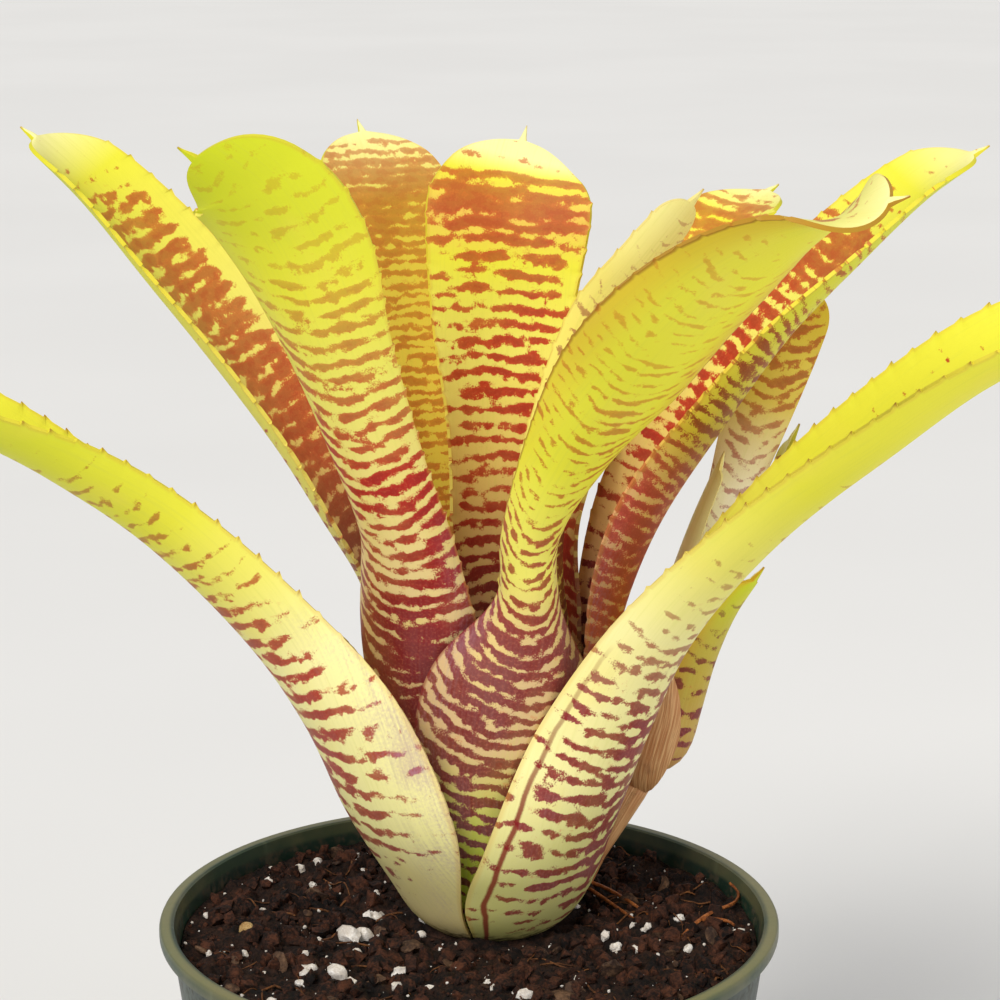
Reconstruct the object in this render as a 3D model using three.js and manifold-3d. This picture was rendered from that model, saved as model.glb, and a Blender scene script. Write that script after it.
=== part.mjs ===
// A potted neoregelia with an offset on a stolon, in millimetres, +Z up.
// The origin is the centre of the pot's underside.
import * as THREE from 'three';
import { mergeVertices } from 'three/addons/utils/BufferGeometryUtils.js';
import Module from 'manifold-3d';

const wasm = await Module();
wasm.setup();

const degree = Math.PI / 180;

// Pot
const potHeight = 90;
const rimRadius = 55;
const lipWidth = 2.7;
const lipHeight = 2.4;
const wallTopRadius = 53.2;
const wallBottomRadius = 41;
const wallThickness = 1.1;
const floorThickness = 2.2;
const potSides = 36;
const footBevel = 1;
const lipRound = 0.6;
const lipSlope = 4; // how far down the lip's inner face runs out to the wall
const drainHole = { count: 6, radius: 3.5, ring: 30, sides: 10 };

// Potting mix
const seat = 0.35; // clearance where one piece lies on or in another
const soilDepthBelowRim = 3.9;
const soilDip = { depth: 1.7, spread: 24 }; // the mix settles round the plant's foot
const soilBottomLift = 1.6;
const soilRipple = { long: 0.45, short: 0.3 };
const soilSkin = 0.5; // the solid's top lies this far under the mean level of its crumbs
const grains = { count: 26, smallest: 1.2, spread: 2.0, clearOfPlant: 18, shape: [1.2, 0.9, 0.8], sink: 0.35 };

// Plant, seen as nested cups of leaf sheaths round a short stem
const plantAxis = { x: 4, y: 12 };
const rosetteCup = { stemRadius: 5.3, reach: 16, depth: 24, top: 106, pitch: 1.6 };
const stemFoot = 70;
const stemTop = 94.5;
const stemTaper = 0.7;
const stemRound = 3;

// Offset, a small rosette on the end of the stolon
const pupFrame = { azimuth: 32, out: 33, up: 107, leanAzimuth: 12, lean: 17 };
const pupCup = { stemRadius: 1.6, reach: 6, depth: 8, top: 8, pitch: 1.5 };

// Leaf build
const sheathThickness = 0.9;
const bladeThickness = 1.15;
const marginThickness = 0.75;
const leafColumns = 6;
const toothPitch = 9.5;
const toothBase = 1.7;
const toothHeight = 1.1;
const mucroLength = 3.2;

// Every leaf: the azimuth it points to, its layer in the nest of sheaths, the half angle its sheath
// wraps, the angle of the cup's quarter ellipse where it leaves the cup, and stations up its midrib.
// A station is out from the axis, up, sideways, breadth over the curve, half angle of the fold, twist.
const rosetteLeaves = [
  { name: 'leaf_low_left', azimuth: -160, layer: 0, wrap: 53, cupAngle: 56, tint: 0xd2d24a, stations: [
    [27, 107, 0, 54, 62, -2], [35, 125, 0, 51, 80, -4], [45, 141, 0, 37, 78, 6], [61, 159, 0, 31, 72, 10],
    [76, 171, 0, 31, 70, 5], [90, 180, 0, 29, 60, -2], [104, 186, 0, 27, 48, -2],
    [118, 187, 0, 23, 38, 0]] },
  { name: 'leaf_low_right', azimuth: -24, layer: 0, wrap: 80, cupAngle: 60, tint: 0xdedb35, stations: [
    [22.5, 104, -1.8, 50.6, 62.8, -4.5], [29, 122, -1.2, 43.5, 75.8, -6.7], [38, 141, -0.4, 37, 80, -0.2],
    [54, 161, 0, 33, 78, 8], [74, 179, 0, 33, 74, 14], [90, 192, 0, 31, 64, 15], [106, 200, 0, 28, 52, 10],
    [121, 203, 0, 24, 40, 6]] },
  { name: 'leaf_low_back', azimuth: 96, layer: 0, wrap: 34, cupAngle: 56, tint: 0xc8cc46, stations: [
    [27, 108, 0, 32, 40, 0], [36, 127, 0, 27, 55, 0], [47, 144, 0, 25, 60, 0], [60, 158, 0, 26, 60, 0],
    [75, 170, 0, 27, 54, 0], [90, 178, 0, 26, 46, 0], [106, 180, 0, 22, 38, 0]] },
  { name: 'leaf_front', azimuth: -84, layer: 1, wrap: 48, cupAngle: 90, tint: 0xd6d733, stations: [
    [20.6, 120, 0, 35, 49, 0], [22.3, 134, 2, 33, 53, 0], [25, 149, 4, 16, 80, 0],
    [29, 161, 4, 14, 76, 0], [37, 175, 8.5, 18, 58, 0], [48, 188.5, 15, 25, 48, 0],
    [60, 202, 22.5, 28, 38, 8],
    [71, 214, 32, 27, 32, 16], [80, 222, 42, 26, 28, 30], [86, 226, 49, 24, 28, 60]] },
  { name: 'leaf_upper_left', azimuth: 170, layer: 3, wrap: 36, cupAngle: 90, tint: 0xd5cf35, stations: [
    [16.9, 118, 0, 20, 36, 0], [19.2, 134, 0, 20, 40, 0], [24.2, 147.5, -2, 18, 42, -4],
    [30, 160, -0.5, 26, 54, -12], [37, 172, 0, 31, 57, -13], [48.5, 187.5, 0, 32, 55, -13],
    [59.5, 201, 0, 30, 50, -13], [71, 214.5, 0, 25, 44, -12], [82, 224.5, 0, 20, 38, -10]] },
  { name: 'leaf_upper_right', azimuth: 4, layer: 1, wrap: 34, cupAngle: 90, tint: 0xc99a35, stations: [
    [20, 118, 0, 24, 35, 0], [21.5, 132, 0, 25, 54, -2], [25, 146, 0.6, 31, 70, -2],
    [31, 160, 0.6, 37, 76, -1], [41, 176, 0.3, 36.5, 72, 3], [51.5, 191.5, 0, 33.5, 58, 5],
    [63.5, 205, 0, 28, 46, 9], [74.5, 216, 0, 22, 38, 11], [84, 222.5, 0, 16, 32, 10]] },
  { name: 'leaf_front_left', azimuth: -127, layer: 2, wrap: 53, cupAngle: 90, tint: 0xcfd03c, stations: [
    [18.2, 119, -2, 33, 54, 0], [18.8, 133, -6, 36.5, 60, 0], [22, 146, -3.5, 27.5, 58, 6],
    [26.5, 158, -1, 22.5, 62, 10], [34.5, 175, -1, 22, 54, 8], [44, 196, -1.5, 25, 40, 6],
    [52, 213, -2.5, 31, 30, 8], [58.5, 222.5, -5, 31, 26, 12], [63.5, 228, -10, 27, 24, 15]] },
  { name: 'leaf_back_left', azimuth: 118, layer: 2, wrap: 34, cupAngle: 90, tint: 0xd9a43a, stations: [
    [18.4, 120, 0, 20, 32, 0], [21, 138, -1, 16, 32, 0], [23, 152, -1, 17, 42, 0],
    [27, 168, 0, 20, 42, 0], [33, 186, 0, 23, 34, 0], [40, 203, 0, 27, 28, 0], [47, 216, 0, 27, 24, 0],
    [52, 222, 0, 25, 20, 0]] },
  { name: 'leaf_back_right', azimuth: 46, layer: 2, wrap: 24, cupAngle: 90, tint: 0xc8703a, stations: [
    [17.6, 122, 0, 15, 28, 0], [18, 140, 0.5, 19, 42, 0], [19.5, 157, 2.5, 22, 46, 0],
    [33, 176, 3.5, 23, 42, 0], [53, 195, 0, 24, 36, 0], [64, 205, -1, 22, 30, 0],
    [73.5, 210, -2, 18, 26, 0]] },
  { name: 'leaf_back', azimuth: 88, layer: 3, wrap: 42, cupAngle: 90, tint: 0xcf8a38, stations: [
    [15.8, 122, 0, 22, 42, 0], [15.2, 140, 0, 20, 52, 0], [16.5, 156, 0, 19, 56, 0],
    [19.5, 172, -0.5, 21, 48, 0], [23, 190, -1, 27, 36, 0], [27, 207, -2, 31, 28, 0],
    [30, 216, -3, 31, 24, 0], [33, 222, -4.5, 27, 20, 0]] },
  { name: 'leaf_inner_right', azimuth: -55, layer: 3, wrap: 40, cupAngle: 90, tint: 0xe2dc86, stations: [
    [16, 122, 2, 20, 40, 0], [14, 140, 2, 18, 52, 0], [12, 155, 3, 16, 60, 0], [11, 175, 7, 13, 45, 0],
    [12.5, 195, 14, 12, 30, 0], [16, 206, 22, 11, 24, 0], [19, 215, 29, 9, 20, 0]] },
  { name: 'leaf_heart_outer', azimuth: -150, layer: 4, wrap: 70, cupAngle: 90, tint: 0xb9c24a, stations: [
    [13, 117, 0, 24, 62, 0], [11.5, 127, 0, 19, 60, 0], [10.5, 136, 0, 13, 50, 0]] },
  { name: 'leaf_heart_inner', azimuth: 30, layer: 5, wrap: 75, cupAngle: 90, tint: 0xb4c052, stations: [
    [11, 116, 0, 20, 66, 0], [9.5, 125, 0, 16, 62, 0], [8.5, 132, 0, 11, 50, 0]] },
];

// The offset's leaves, in its own leaning frame
const pupLeaves = [
  { name: 'pup_leaf_low', azimuth: -38, layer: 0, wrap: 75, cupAngle: 85, tint: 0xd8d488, stations: [
    [7.4, 14, 0, 19, 72, 0], [7.2, 24, 0, 16, 62, 0], [8.4, 33, 0, 12, 54, 0], [11, 41, 0, 8, 46, 0]] },
  { name: 'pup_leaf_tall', azimuth: -80, layer: 2, wrap: 80, cupAngle: 90, tint: 0xd08c4a, stations: [
    [4.3, 18, 0, 10.5, 68, 0], [3.6, 34, 0, 9, 58, 0], [3.2, 52, 0, 10, 44, 0], [4, 67, 0, 13, 36, 0],
    [5, 82, 0, 15, 28, 0], [7.5, 95, 0, 14, 24, 0]] },
  { name: 'pup_leaf_left', azimuth: -155, layer: 1, wrap: 58, cupAngle: 90, tint: 0xd9cf8a, stations: [
    [6.4, 18, 0, 11, 58, 0], [6.8, 34, 1, 7.5, 50, 0], [6.7, 48, 2, 5.5, 46, 0], [6, 59, 3, 4, 44, 0]] },
  { name: 'pup_leaf_right', azimuth: 5, layer: 1, wrap: 58, cupAngle: 90, tint: 0xb3b86a, stations: [
    [5.7, 17, 0, 9.5, 48, 0], [5.4, 30, 0, 8, 46, 0], [6.8, 44, 0, 8.5, 42, 0], [8.4, 57, 0, 8, 38, 0],
    [8.8, 67, 0, 6, 36, 0]] },
];

function randomStream(seed) {
  let state = seed;
  return () => {
    state = (state * 1664525 + 1013904223) % 4294967296;
    return state / 4294967296;
  };
}

function material(colour, roughness, metalness = 0) {
  return new THREE.MeshStandardMaterial({ color: colour, roughness, metalness });
}

function namedMesh(name, geometry, look) {
  const mesh = new THREE.Mesh(geometry, look);
  mesh.name = name;
  return mesh;
}

// Closed mesh to solid and back
function toSolid(geometry) {
  const bare = geometry.clone();
  bare.deleteAttribute('normal');
  bare.deleteAttribute('uv');
  const merged = mergeVertices(bare, 1e-4);
  return new wasm.Manifold(new wasm.Mesh({
    numProp: 3,
    vertProperties: new Float32Array(merged.attributes.position.array),
    triVerts: new Uint32Array(merged.index.array),
  }));
}

function toGeometry(solid) {
  const mesh = solid.getMesh();
  const geometry = new THREE.BufferGeometry();
  geometry.setAttribute('position', new THREE.BufferAttribute(new Float32Array(mesh.vertProperties), 3));
  geometry.setIndex(new THREE.BufferAttribute(new Uint32Array(mesh.triVerts), 1));
  return geometry;
}

function placed(geometry, x, y, z) {
  return geometry.translate(x, y, z);
}

// A profile of [radius, height] turned round the upright axis; it starts and ends on the axis
function turned(profile, sides) {
  const points = profile.map(([radius, height]) => new THREE.Vector2(radius, height));
  return new THREE.LatheGeometry(points, sides).rotateX(Math.PI / 2);
}

// Smooth curve through the stations, with chord lengths as its measure
function stationCurve(stations) {
  const knots = [0];
  for (let i = 1; i < stations.length; i++) {
    const [a, b] = [stations[i - 1], stations[i]];
    knots.push(knots[i - 1] + Math.hypot(b[0] - a[0], b[1] - a[1], b[2] - a[2]));
  }
  const last = stations.length - 1;
  const slope = (i, k) => {
    const [lo, hi] = [Math.max(i - 1, 0), Math.min(i + 1, last)];
    return (stations[hi][k] - stations[lo][k]) / (knots[hi] - knots[lo]);
  };
  const length = knots[last];
  const at = (distance) => {
    const d = Math.min(Math.max(distance, 0), length);
    let i = 0;
    while (i < last - 1 && d > knots[i + 1]) i++;
    const span = knots[i + 1] - knots[i];
    const t = (d - knots[i]) / span;
    const [t2, t3] = [t * t, t * t * t];
    return stations[i].map((value, k) => (2 * t3 - 3 * t2 + 1) * value + (t3 - 2 * t2 + t) * span * slope(i, k)
      + (3 * t2 - 2 * t3) * stations[i + 1][k] + (t3 - t2) * span * slope(i + 1, k));
  };
  return { length, at };
}

// The sheath's stations on its cup, then the blade's; the seventh value is how level a section lies
function leafStations(leaf, cup) {
  const reach = cup.reach - leaf.layer * cup.pitch;
  const depth = cup.depth - leaf.layer * cup.pitch;
  const onCup = [0, 0.3, 0.65, 1].map((share) => {
    const angle = share * leaf.cupAngle * degree;
    const out = cup.stemRadius + reach * Math.sin(angle);
    const up = cup.top - depth * Math.cos(angle);
    return [out, up, 0, 2 * leaf.wrap * degree * out, leaf.wrap, 0, 1];
  });
  const blade = leaf.stations.map((station, i) => [...station, Math.max(0, 0.5 - i * 0.5)]);
  return [...onCup, ...blade];
}

const up = new THREE.Vector3(0, 0, 1);

// A leaf's outer face as a function of distance along the midrib and place across, -1 to 1
function leafSurface(leaf, cup) {
  const curve = stationCurve(leafStations(leaf, cup));
  const outward = new THREE.Vector3(Math.cos(leaf.azimuth * degree), Math.sin(leaf.azimuth * degree), 0);
  const sideways = new THREE.Vector3(-outward.y, outward.x, 0);
  const tipLength = 0.55 * leaf.stations.at(-1)[3];
  const bladeEnd = curve.length;
  const spine = (distance) => {
    const [out, height, side] = curve.at(distance);
    return new THREE.Vector3().addScaledVector(outward, out).addScaledVector(sideways, side).addScaledVector(up, height);
  };
  const point = (distance, across) => {
    const step = 0.05;
    const here = spine(distance);
    const tangent = spine(Math.min(distance + step, bladeEnd)).sub(spine(Math.max(distance - step, 0))).normalize();
    const [, , , fullBreadth, fold, twist, level] = curve.at(distance);
    const towardsTip = Math.max(0, (distance - (bladeEnd - tipLength)) / tipLength);
    const breadth = fullBreadth * Math.sqrt(Math.max(0, 1 - towardsTip ** 2));
    const side = sideways.clone().addScaledVector(tangent, -sideways.dot(tangent) * (1 - level)).normalize();
    const inward = tangent.clone().cross(side).normalize();
    inward.multiplyScalar(1 - level).addScaledVector(outward, -level).normalize();
    const turn = twist * degree;
    const acrossAxis = side.clone().multiplyScalar(Math.cos(turn)).addScaledVector(inward, Math.sin(turn));
    const foldAxis = inward.clone().multiplyScalar(Math.cos(turn)).addScaledVector(side, -Math.sin(turn));
    const half = Math.max(fold, 2) * degree;
    const radius = fullBreadth / (2 * half);
    const angle = half * across * breadth / fullBreadth;
    return here.addScaledVector(acrossAxis, radius * Math.sin(angle))
      .addScaledVector(foldAxis, radius * (1 - Math.cos(angle)));
  };
  const normal = (distance, across) => {
    const step = 0.2;
    const [lo, hi] = [Math.max(distance - step, 0), Math.min(distance + step, bladeEnd - 0.02 * tipLength)];
    const along = point(hi, across).sub(point(lo, across));
    const over = point(distance, Math.min(across + 0.05, 1)).sub(point(distance, Math.max(across - 0.05, -1)));
    return along.cross(over).normalize();
  };
  const sheathEnd = cup.depth * 0.9;
  const thickness = (distance, across) => {
    const share = THREE.MathUtils.smoothstep(distance, sheathEnd, sheathEnd * 2.2);
    const middle = THREE.MathUtils.lerp(sheathThickness, bladeThickness, share);
    return THREE.MathUtils.lerp(middle, marginThickness, Math.abs(across) ** 3);
  };
  return { spine, point, normal, thickness, bladeEnd, tipLength, toothStart: cup.depth * 1.55 };
}

// Rows along the leaf: plain rows in the sheath, then a pair of rows for each tooth, then the round tip
function leafRows(surface, sheathStep) {
  const rows = [];
  const plainRows = Math.round(surface.toothStart / sheathStep);
  for (let i = 0; i < plainRows; i++) rows.push({ distance: surface.toothStart * i / plainRows, tooth: false });
  const tipStart = surface.bladeEnd - surface.tipLength;
  const teeth = Math.max(1, Math.floor((tipStart - surface.toothStart) / toothPitch));
  const pitch = (tipStart - surface.toothStart) / teeth;
  for (let i = 0; i < teeth; i++) {
    const distance = surface.toothStart + i * pitch;
    rows.push({ distance, tooth: true });
    rows.push({ distance: distance + toothBase, tooth: false });
  }
  for (const share of [0, 0.5, 0.8, 0.97]) {
    rows.push({ distance: tipStart + share * surface.tipLength, tooth: false });
  }
  return rows;
}

function leafGeometry(leaf, cup, sheathStep) {
  const surface = leafSurface(leaf, cup);
  const rows = leafRows(surface, sheathStep);
  const positions = [];
  const triangles = [];
  const addPoint = (v) => positions.push(v.x, v.y, v.z) / 3 - 1;
  const addQuad = (a, b, c, d) => triangles.push(a, b, c, a, c, d);
  const outer = [];
  const inner = [];
  for (const { distance } of rows) {
    const outerRow = [];
    const innerRow = [];
    for (let i = 0; i <= leafColumns; i++) {
      const across = -1 + 2 * i / leafColumns;
      const p = surface.point(distance, across);
      const n = surface.normal(distance, across);
      outerRow.push(addPoint(p));
      innerRow.push(addPoint(p.clone().addScaledVector(n, surface.thickness(distance, across))));
    }
    outer.push(outerRow);
    inner.push(innerRow);
  }
  const lastRow = rows.length - 1;
  const vertex = (index) => new THREE.Vector3().fromArray(positions, 3 * index);
  for (let r = 0; r < lastRow; r++) {
    for (let c = 0; c < leafColumns; c++) {
      addQuad(outer[r][c], outer[r][c + 1], outer[r + 1][c + 1], outer[r + 1][c]);
      addQuad(inner[r][c], inner[r + 1][c], inner[r + 1][c + 1], inner[r][c + 1]);
    }
    for (const [edge, next] of [[0, 1], [leafColumns, leafColumns - 1]]) {
      const corners = [outer[r][edge], outer[r + 1][edge], inner[r + 1][edge], inner[r][edge]];
      if (edge === leafColumns) corners.reverse();
      if (!rows[r].tooth) {
        addQuad(...corners);
        continue;
      }
      const away = vertex(outer[r][edge]).sub(vertex(outer[r][next])).normalize();
      const forward = vertex(outer[r + 1][edge]).sub(vertex(outer[r][edge])).normalize();
      const tip = corners.reduce((sum, index) => sum.add(vertex(index)), new THREE.Vector3()).divideScalar(4);
      tip.addScaledVector(away, toothHeight).addScaledVector(forward, toothHeight);
      const apex = addPoint(tip);
      corners.forEach((corner, i) => triangles.push(corner, corners[(i + 1) % 4], apex));
    }
  }
  for (let c = 0; c < leafColumns; c++) {
    addQuad(outer[0][c], inner[0][c], inner[0][c + 1], outer[0][c + 1]);
  }
  const end = surface.spine(surface.bladeEnd);
  const before = surface.spine(surface.bladeEnd - 1);
  const point = addPoint(end.clone().addScaledVector(end.clone().sub(before).normalize(), mucroLength));
  const rim = [...outer[lastRow], ...inner[lastRow].toReversed()];
  rim.forEach((corner, i) => triangles.push(corner, rim[(i + 1) % rim.length], point));
  const geometry = new THREE.BufferGeometry();
  geometry.setAttribute('position', new THREE.Float32BufferAttribute(positions, 3));
  geometry.setIndex(triangles);
  return geometry;
}

function makePot() {
  const taper = (wallTopRadius - wallBottomRadius) / potHeight;
  const outerAt = (height) => wallBottomRadius + taper * height;
  const lipFoot = potHeight - lipHeight;
  const lipInner = rimRadius - lipWidth;
  const profile = [
    [0, 0], [wallBottomRadius - footBevel, 0], [outerAt(footBevel), footBevel], [outerAt(lipFoot), lipFoot],
    [rimRadius - lipRound, lipFoot], [rimRadius, lipFoot + lipRound], [rimRadius, potHeight - lipRound],
    [rimRadius - lipRound, potHeight], [lipInner, potHeight],
    [outerAt(potHeight - lipSlope) - wallThickness, potHeight - lipSlope],
    [outerAt(floorThickness) - wallThickness, floorThickness], [0, floorThickness],
  ];
  let solid = toSolid(turned(profile, potSides));
  for (let i = 0; i < drainHole.count; i++) {
    const angle = 2 * Math.PI * i / drainHole.count;
    const drill = new THREE.CylinderGeometry(drainHole.radius, drainHole.radius, 3 * floorThickness, drainHole.sides)
      .rotateX(Math.PI / 2);
    solid = solid.subtract(toSolid(placed(drill, drainHole.ring * Math.cos(angle), drainHole.ring * Math.sin(angle),
      floorThickness / 2)));
  }
  return toGeometry(solid);
}

const soilLevel = potHeight - soilDepthBelowRim;

function soilHeight(x, y) {
  const fromPlant = Math.hypot(x - plantAxis.x, y - plantAxis.y);
  const ripple = soilRipple.long * Math.sin(0.31 * x + 0.9) * Math.cos(0.27 * y)
    + soilRipple.short * Math.sin(0.55 * x - 0.47 * y);
  return soilLevel + ripple - soilDip.depth * Math.exp(-((fromPlant / soilDip.spread) ** 2));
}

function makeSoil() {
  const taper = (wallTopRadius - wallBottomRadius) / potHeight;
  const innerAt = (height) => wallBottomRadius + taper * height - wallThickness - seat;
  const rings = [0.17, 0.34, 0.5, 0.66, 0.82, 1];
  const bottom = floorThickness + soilBottomLift;
  const top = innerAt(soilLevel);
  const profile = [[0, bottom], [innerAt(bottom), bottom], [top, soilLevel],
    ...rings.slice(0, -1).toReversed().map((share) => [share * top, soilLevel]), [0, soilLevel]];
  const body = turned(profile, potSides);
  const position = body.attributes.position;
  for (let i = 0; i < position.count; i++) {
    if (position.getZ(i) < soilLevel - 0.01) continue;
    position.setZ(i, soilHeight(position.getX(i), position.getY(i)) - soilSkin);
  }
  let solid = toSolid(body);
  const random = randomStream(11);
  for (let placedGrains = 0; placedGrains < grains.count;) {
    const angle = 2 * Math.PI * random();
    const from = top * Math.sqrt(random()) * 0.94;
    const size = grains.smallest + grains.spread * random() ** 2;
    const [x, y] = [from * Math.cos(angle), from * Math.sin(angle)];
    if (Math.hypot(x - plantAxis.x, y - plantAxis.y) < grains.clearOfPlant || from + size > top) continue;
    const grain = new THREE.OctahedronGeometry(size, 0).rotateX(3 * random()).rotateZ(3 * random())
      .scale(...grains.shape);
    solid = solid.add(toSolid(placed(grain, x, y, soilHeight(x, y) - grains.sink)));
    placedGrains++;
  }
  return toGeometry(solid.subtract(plantHole()).subtract(stolonHole()));
}

// Plain holes that the plant's base and the stolon's foot stand in
const cupCutAngles = [14, 26, 38, 50];
const holeTop = potHeight + 10;
const holeFlare = 5;

function plantHole() {
  const cup = rosetteCup;
  const profile = [[0, stemFoot - seat], [cup.stemRadius, stemFoot - seat],
    [cup.stemRadius, cup.top - cup.depth - seat]];
  for (const angle of cupCutAngles) {
    profile.push([cup.stemRadius + (cup.reach + seat) * Math.sin(angle * degree) + seat,
      cup.top - (cup.depth + seat) * Math.cos(angle * degree)]);
  }
  profile.push([profile.at(-1)[0] + holeFlare, holeTop], [0, holeTop]);
  return toSolid(placed(turned(profile, 24), plantAxis.x, plantAxis.y, 0));
}

function makeStem() {
  const radius = rosetteCup.stemRadius - 1.5 * seat;
  const tip = radius * stemTaper;
  const profile = [[0, stemFoot], [tip, stemFoot], [radius, stemFoot + stemRound], [radius, stemTop - stemRound],
    [tip, stemTop - stemRound / 3], [0, stemTop]];
  return placed(turned(profile, 12), plantAxis.x, plantAxis.y, 0);
}

// The stolon leaves the soil beside the rosette and carries the offset; dry bracts sheathe it
const stolonHead = { drop: 1.2, radius: 3.2 }; // the shoulder under the offset's cup
const stolonRoom = 1.4;
const stolonLean = { x: 0.4, y: 0.2 }; // its hole's middle is over to the side it leans to
const stolonRoute = [[17.5, 79, 1.9], [19, 86, 2], [22.5, 92, 2.1], [26.5, 98, 2.9], [30, 103, 3.4]];

function pupOrigin() {
  const angle = pupFrame.azimuth * degree;
  return new THREE.Vector3(plantAxis.x + pupFrame.out * Math.cos(angle), plantAxis.y + pupFrame.out * Math.sin(angle),
    pupFrame.up);
}

function pupTurn() {
  const angle = pupFrame.leanAzimuth * degree;
  const axis = new THREE.Vector3(-Math.sin(angle), Math.cos(angle), 0);
  return new THREE.Quaternion().setFromAxisAngle(axis, pupFrame.lean * degree);
}

function stolonPoint(out, height) {
  const angle = pupFrame.azimuth * degree;
  return new THREE.Vector3(plantAxis.x + out * Math.cos(angle), plantAxis.y + out * Math.sin(angle), height);
}

function makeStolon() {
  const sides = 10;
  const axisUp = up.clone().applyQuaternion(pupTurn());
  const stations = stolonRoute.map(([out, height, radius]) => ({ centre: stolonPoint(out, height), radius }));
  const origin = pupOrigin();
  const coreRadius = pupCup.stemRadius - seat;
  stations.push({ centre: origin.clone().addScaledVector(axisUp, -stolonHead.drop), radius: stolonHead.radius });
  stations.push({ centre: origin.clone().addScaledVector(axisUp, -stolonHead.drop / 2), radius: coreRadius });
  stations.push({ centre: origin.clone().addScaledVector(axisUp, pupCup.top), radius: coreRadius * stemTaper });
  return ringsGeometry(stations, sides);
}

// A closed tube through rings that stand square to its route
function ringsGeometry(stations, sides) {
  const positions = [];
  const triangles = [];
  stations.forEach(({ centre, radius }, i) => {
    const [before, after] = [stations[Math.max(i - 1, 0)], stations[Math.min(i + 1, stations.length - 1)]];
    const along = after.centre.clone().sub(before.centre).normalize();
    const across = new THREE.Vector3(0, 1, 0).addScaledVector(along, -along.y).normalize();
    const third = along.clone().cross(across);
    for (let k = 0; k < sides; k++) {
      const angle = 2 * Math.PI * k / sides;
      const p = centre.clone().addScaledVector(across, radius * Math.cos(angle)).addScaledVector(third,
        radius * Math.sin(angle));
      positions.push(p.x, p.y, p.z);
    }
  });
  const last = stations.length - 1;
  for (let i = 0; i < last; i++) {
    for (let k = 0; k < sides; k++) {
      const [a, b] = [i * sides + k, i * sides + (k + 1) % sides];
      triangles.push(a, b, b + sides, a, b + sides, a + sides);
    }
  }
  for (let k = 1; k < sides - 1; k++) {
    triangles.push(0, k + 1, k, last * sides, last * sides + k, last * sides + k + 1);
  }
  const geometry = new THREE.BufferGeometry();
  geometry.setAttribute('position', new THREE.Float32BufferAttribute(positions, 3));
  geometry.setIndex(triangles);
  return geometry;
}

function stolonHole() {
  const [out, foot, radius] = stolonRoute[0];
  const centre = stolonPoint(out, foot);
  const low = foot - stolonRoom / 2;
  const drill = new THREE.CylinderGeometry(radius + stolonRoom, radius + stolonRoom, holeTop - low, 12)
    .rotateX(Math.PI / 2);
  return toSolid(placed(drill, centre.x + stolonLean.x, centre.y + stolonLean.y, (low + holeTop) / 2));
}

const plant = new THREE.Group();
plant.add(namedMesh('pot', makePot(), material(0x1f4a33, 0.5)));
plant.add(namedMesh('soil', makeSoil(), material(0x2e1d14, 0.95)));
plant.add(namedMesh('stem', makeStem(), material(0x8d7a4a, 0.8)));
plant.add(namedMesh('stolon', makeStolon(), material(0xa9683c, 0.8)));

const rosette = new THREE.Group();
rosette.position.set(plantAxis.x, plantAxis.y, 0);
for (const leaf of rosetteLeaves) {
  rosette.add(namedMesh(leaf.name, leafGeometry(leaf, rosetteCup, 6), material(leaf.tint, 0.4)));
}
plant.add(rosette);

const offset = new THREE.Group();
offset.position.copy(pupOrigin());
offset.quaternion.copy(pupTurn());
for (const leaf of pupLeaves) {
  offset.add(namedMesh(leaf.name, leafGeometry(leaf, pupCup, 4), material(leaf.tint, 0.4)));
}
plant.add(offset);

export default plant;
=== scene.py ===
import math
import random

import bpy
from mathutils import Matrix, Quaternion, Vector, noise


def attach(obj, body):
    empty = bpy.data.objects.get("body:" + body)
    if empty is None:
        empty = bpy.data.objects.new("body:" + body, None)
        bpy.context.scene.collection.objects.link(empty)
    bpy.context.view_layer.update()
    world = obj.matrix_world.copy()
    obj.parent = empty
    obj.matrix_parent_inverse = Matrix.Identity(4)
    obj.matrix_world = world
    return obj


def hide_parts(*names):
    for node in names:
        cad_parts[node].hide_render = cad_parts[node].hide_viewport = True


# A potted neoregelia with its offset. The tables are in millimetres, everything made is in metres.
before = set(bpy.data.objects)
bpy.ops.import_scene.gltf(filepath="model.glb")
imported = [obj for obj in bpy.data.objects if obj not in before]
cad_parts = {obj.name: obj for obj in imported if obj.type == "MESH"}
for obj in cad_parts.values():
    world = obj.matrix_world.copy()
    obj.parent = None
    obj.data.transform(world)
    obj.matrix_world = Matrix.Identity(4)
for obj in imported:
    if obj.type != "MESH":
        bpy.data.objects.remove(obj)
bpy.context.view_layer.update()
mm = 0.001
up = Vector((0, 0, 1))
print("frame loaded:", len(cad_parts), "solids")


# Small hand tools

def pickNothing():
    bpy.ops.object.select_all(action="DESELECT")


def pickOnly(piece):
    pickNothing()
    piece.select_set(True)
    bpy.context.view_layer.objects.active = piece


def newPiece(name):
    piece = bpy.context.object
    piece.name = name
    piece.data.name = name
    return piece


def applyModifier(piece, kind, **settings):
    pickOnly(piece)
    modifier = piece.modifiers.new(kind.capitalize(), kind)
    for setting, value in settings.items():
        setattr(modifier, setting, value)
    bpy.ops.object.modifier_apply(modifier=modifier.name)


def copyWithMesh(piece, matrix):
    copy = piece.copy()
    copy.data = piece.data.copy()
    bpy.context.scene.collection.objects.link(copy)
    copy.data.transform(matrix)
    return copy


def joinAll(pieces, name):
    pickNothing()
    for piece in pieces:
        piece.select_set(True)
    bpy.context.view_layer.objects.active = pieces[0]
    bpy.ops.object.join()
    return newPiece(name)


def smoothByAngle(piece, degrees):
    pickOnly(piece)
    bpy.ops.object.shade_smooth_by_angle(angle=math.radians(degrees))


def dress(piece, *materials):
    piece.data.materials.clear()
    for material in materials:
        piece.data.materials.append(material)


def keepNumbers(piece, name, numbers):
    piece.data.attributes.new(name, "FLOAT", "POINT").data.foreach_set("value", numbers)


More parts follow.
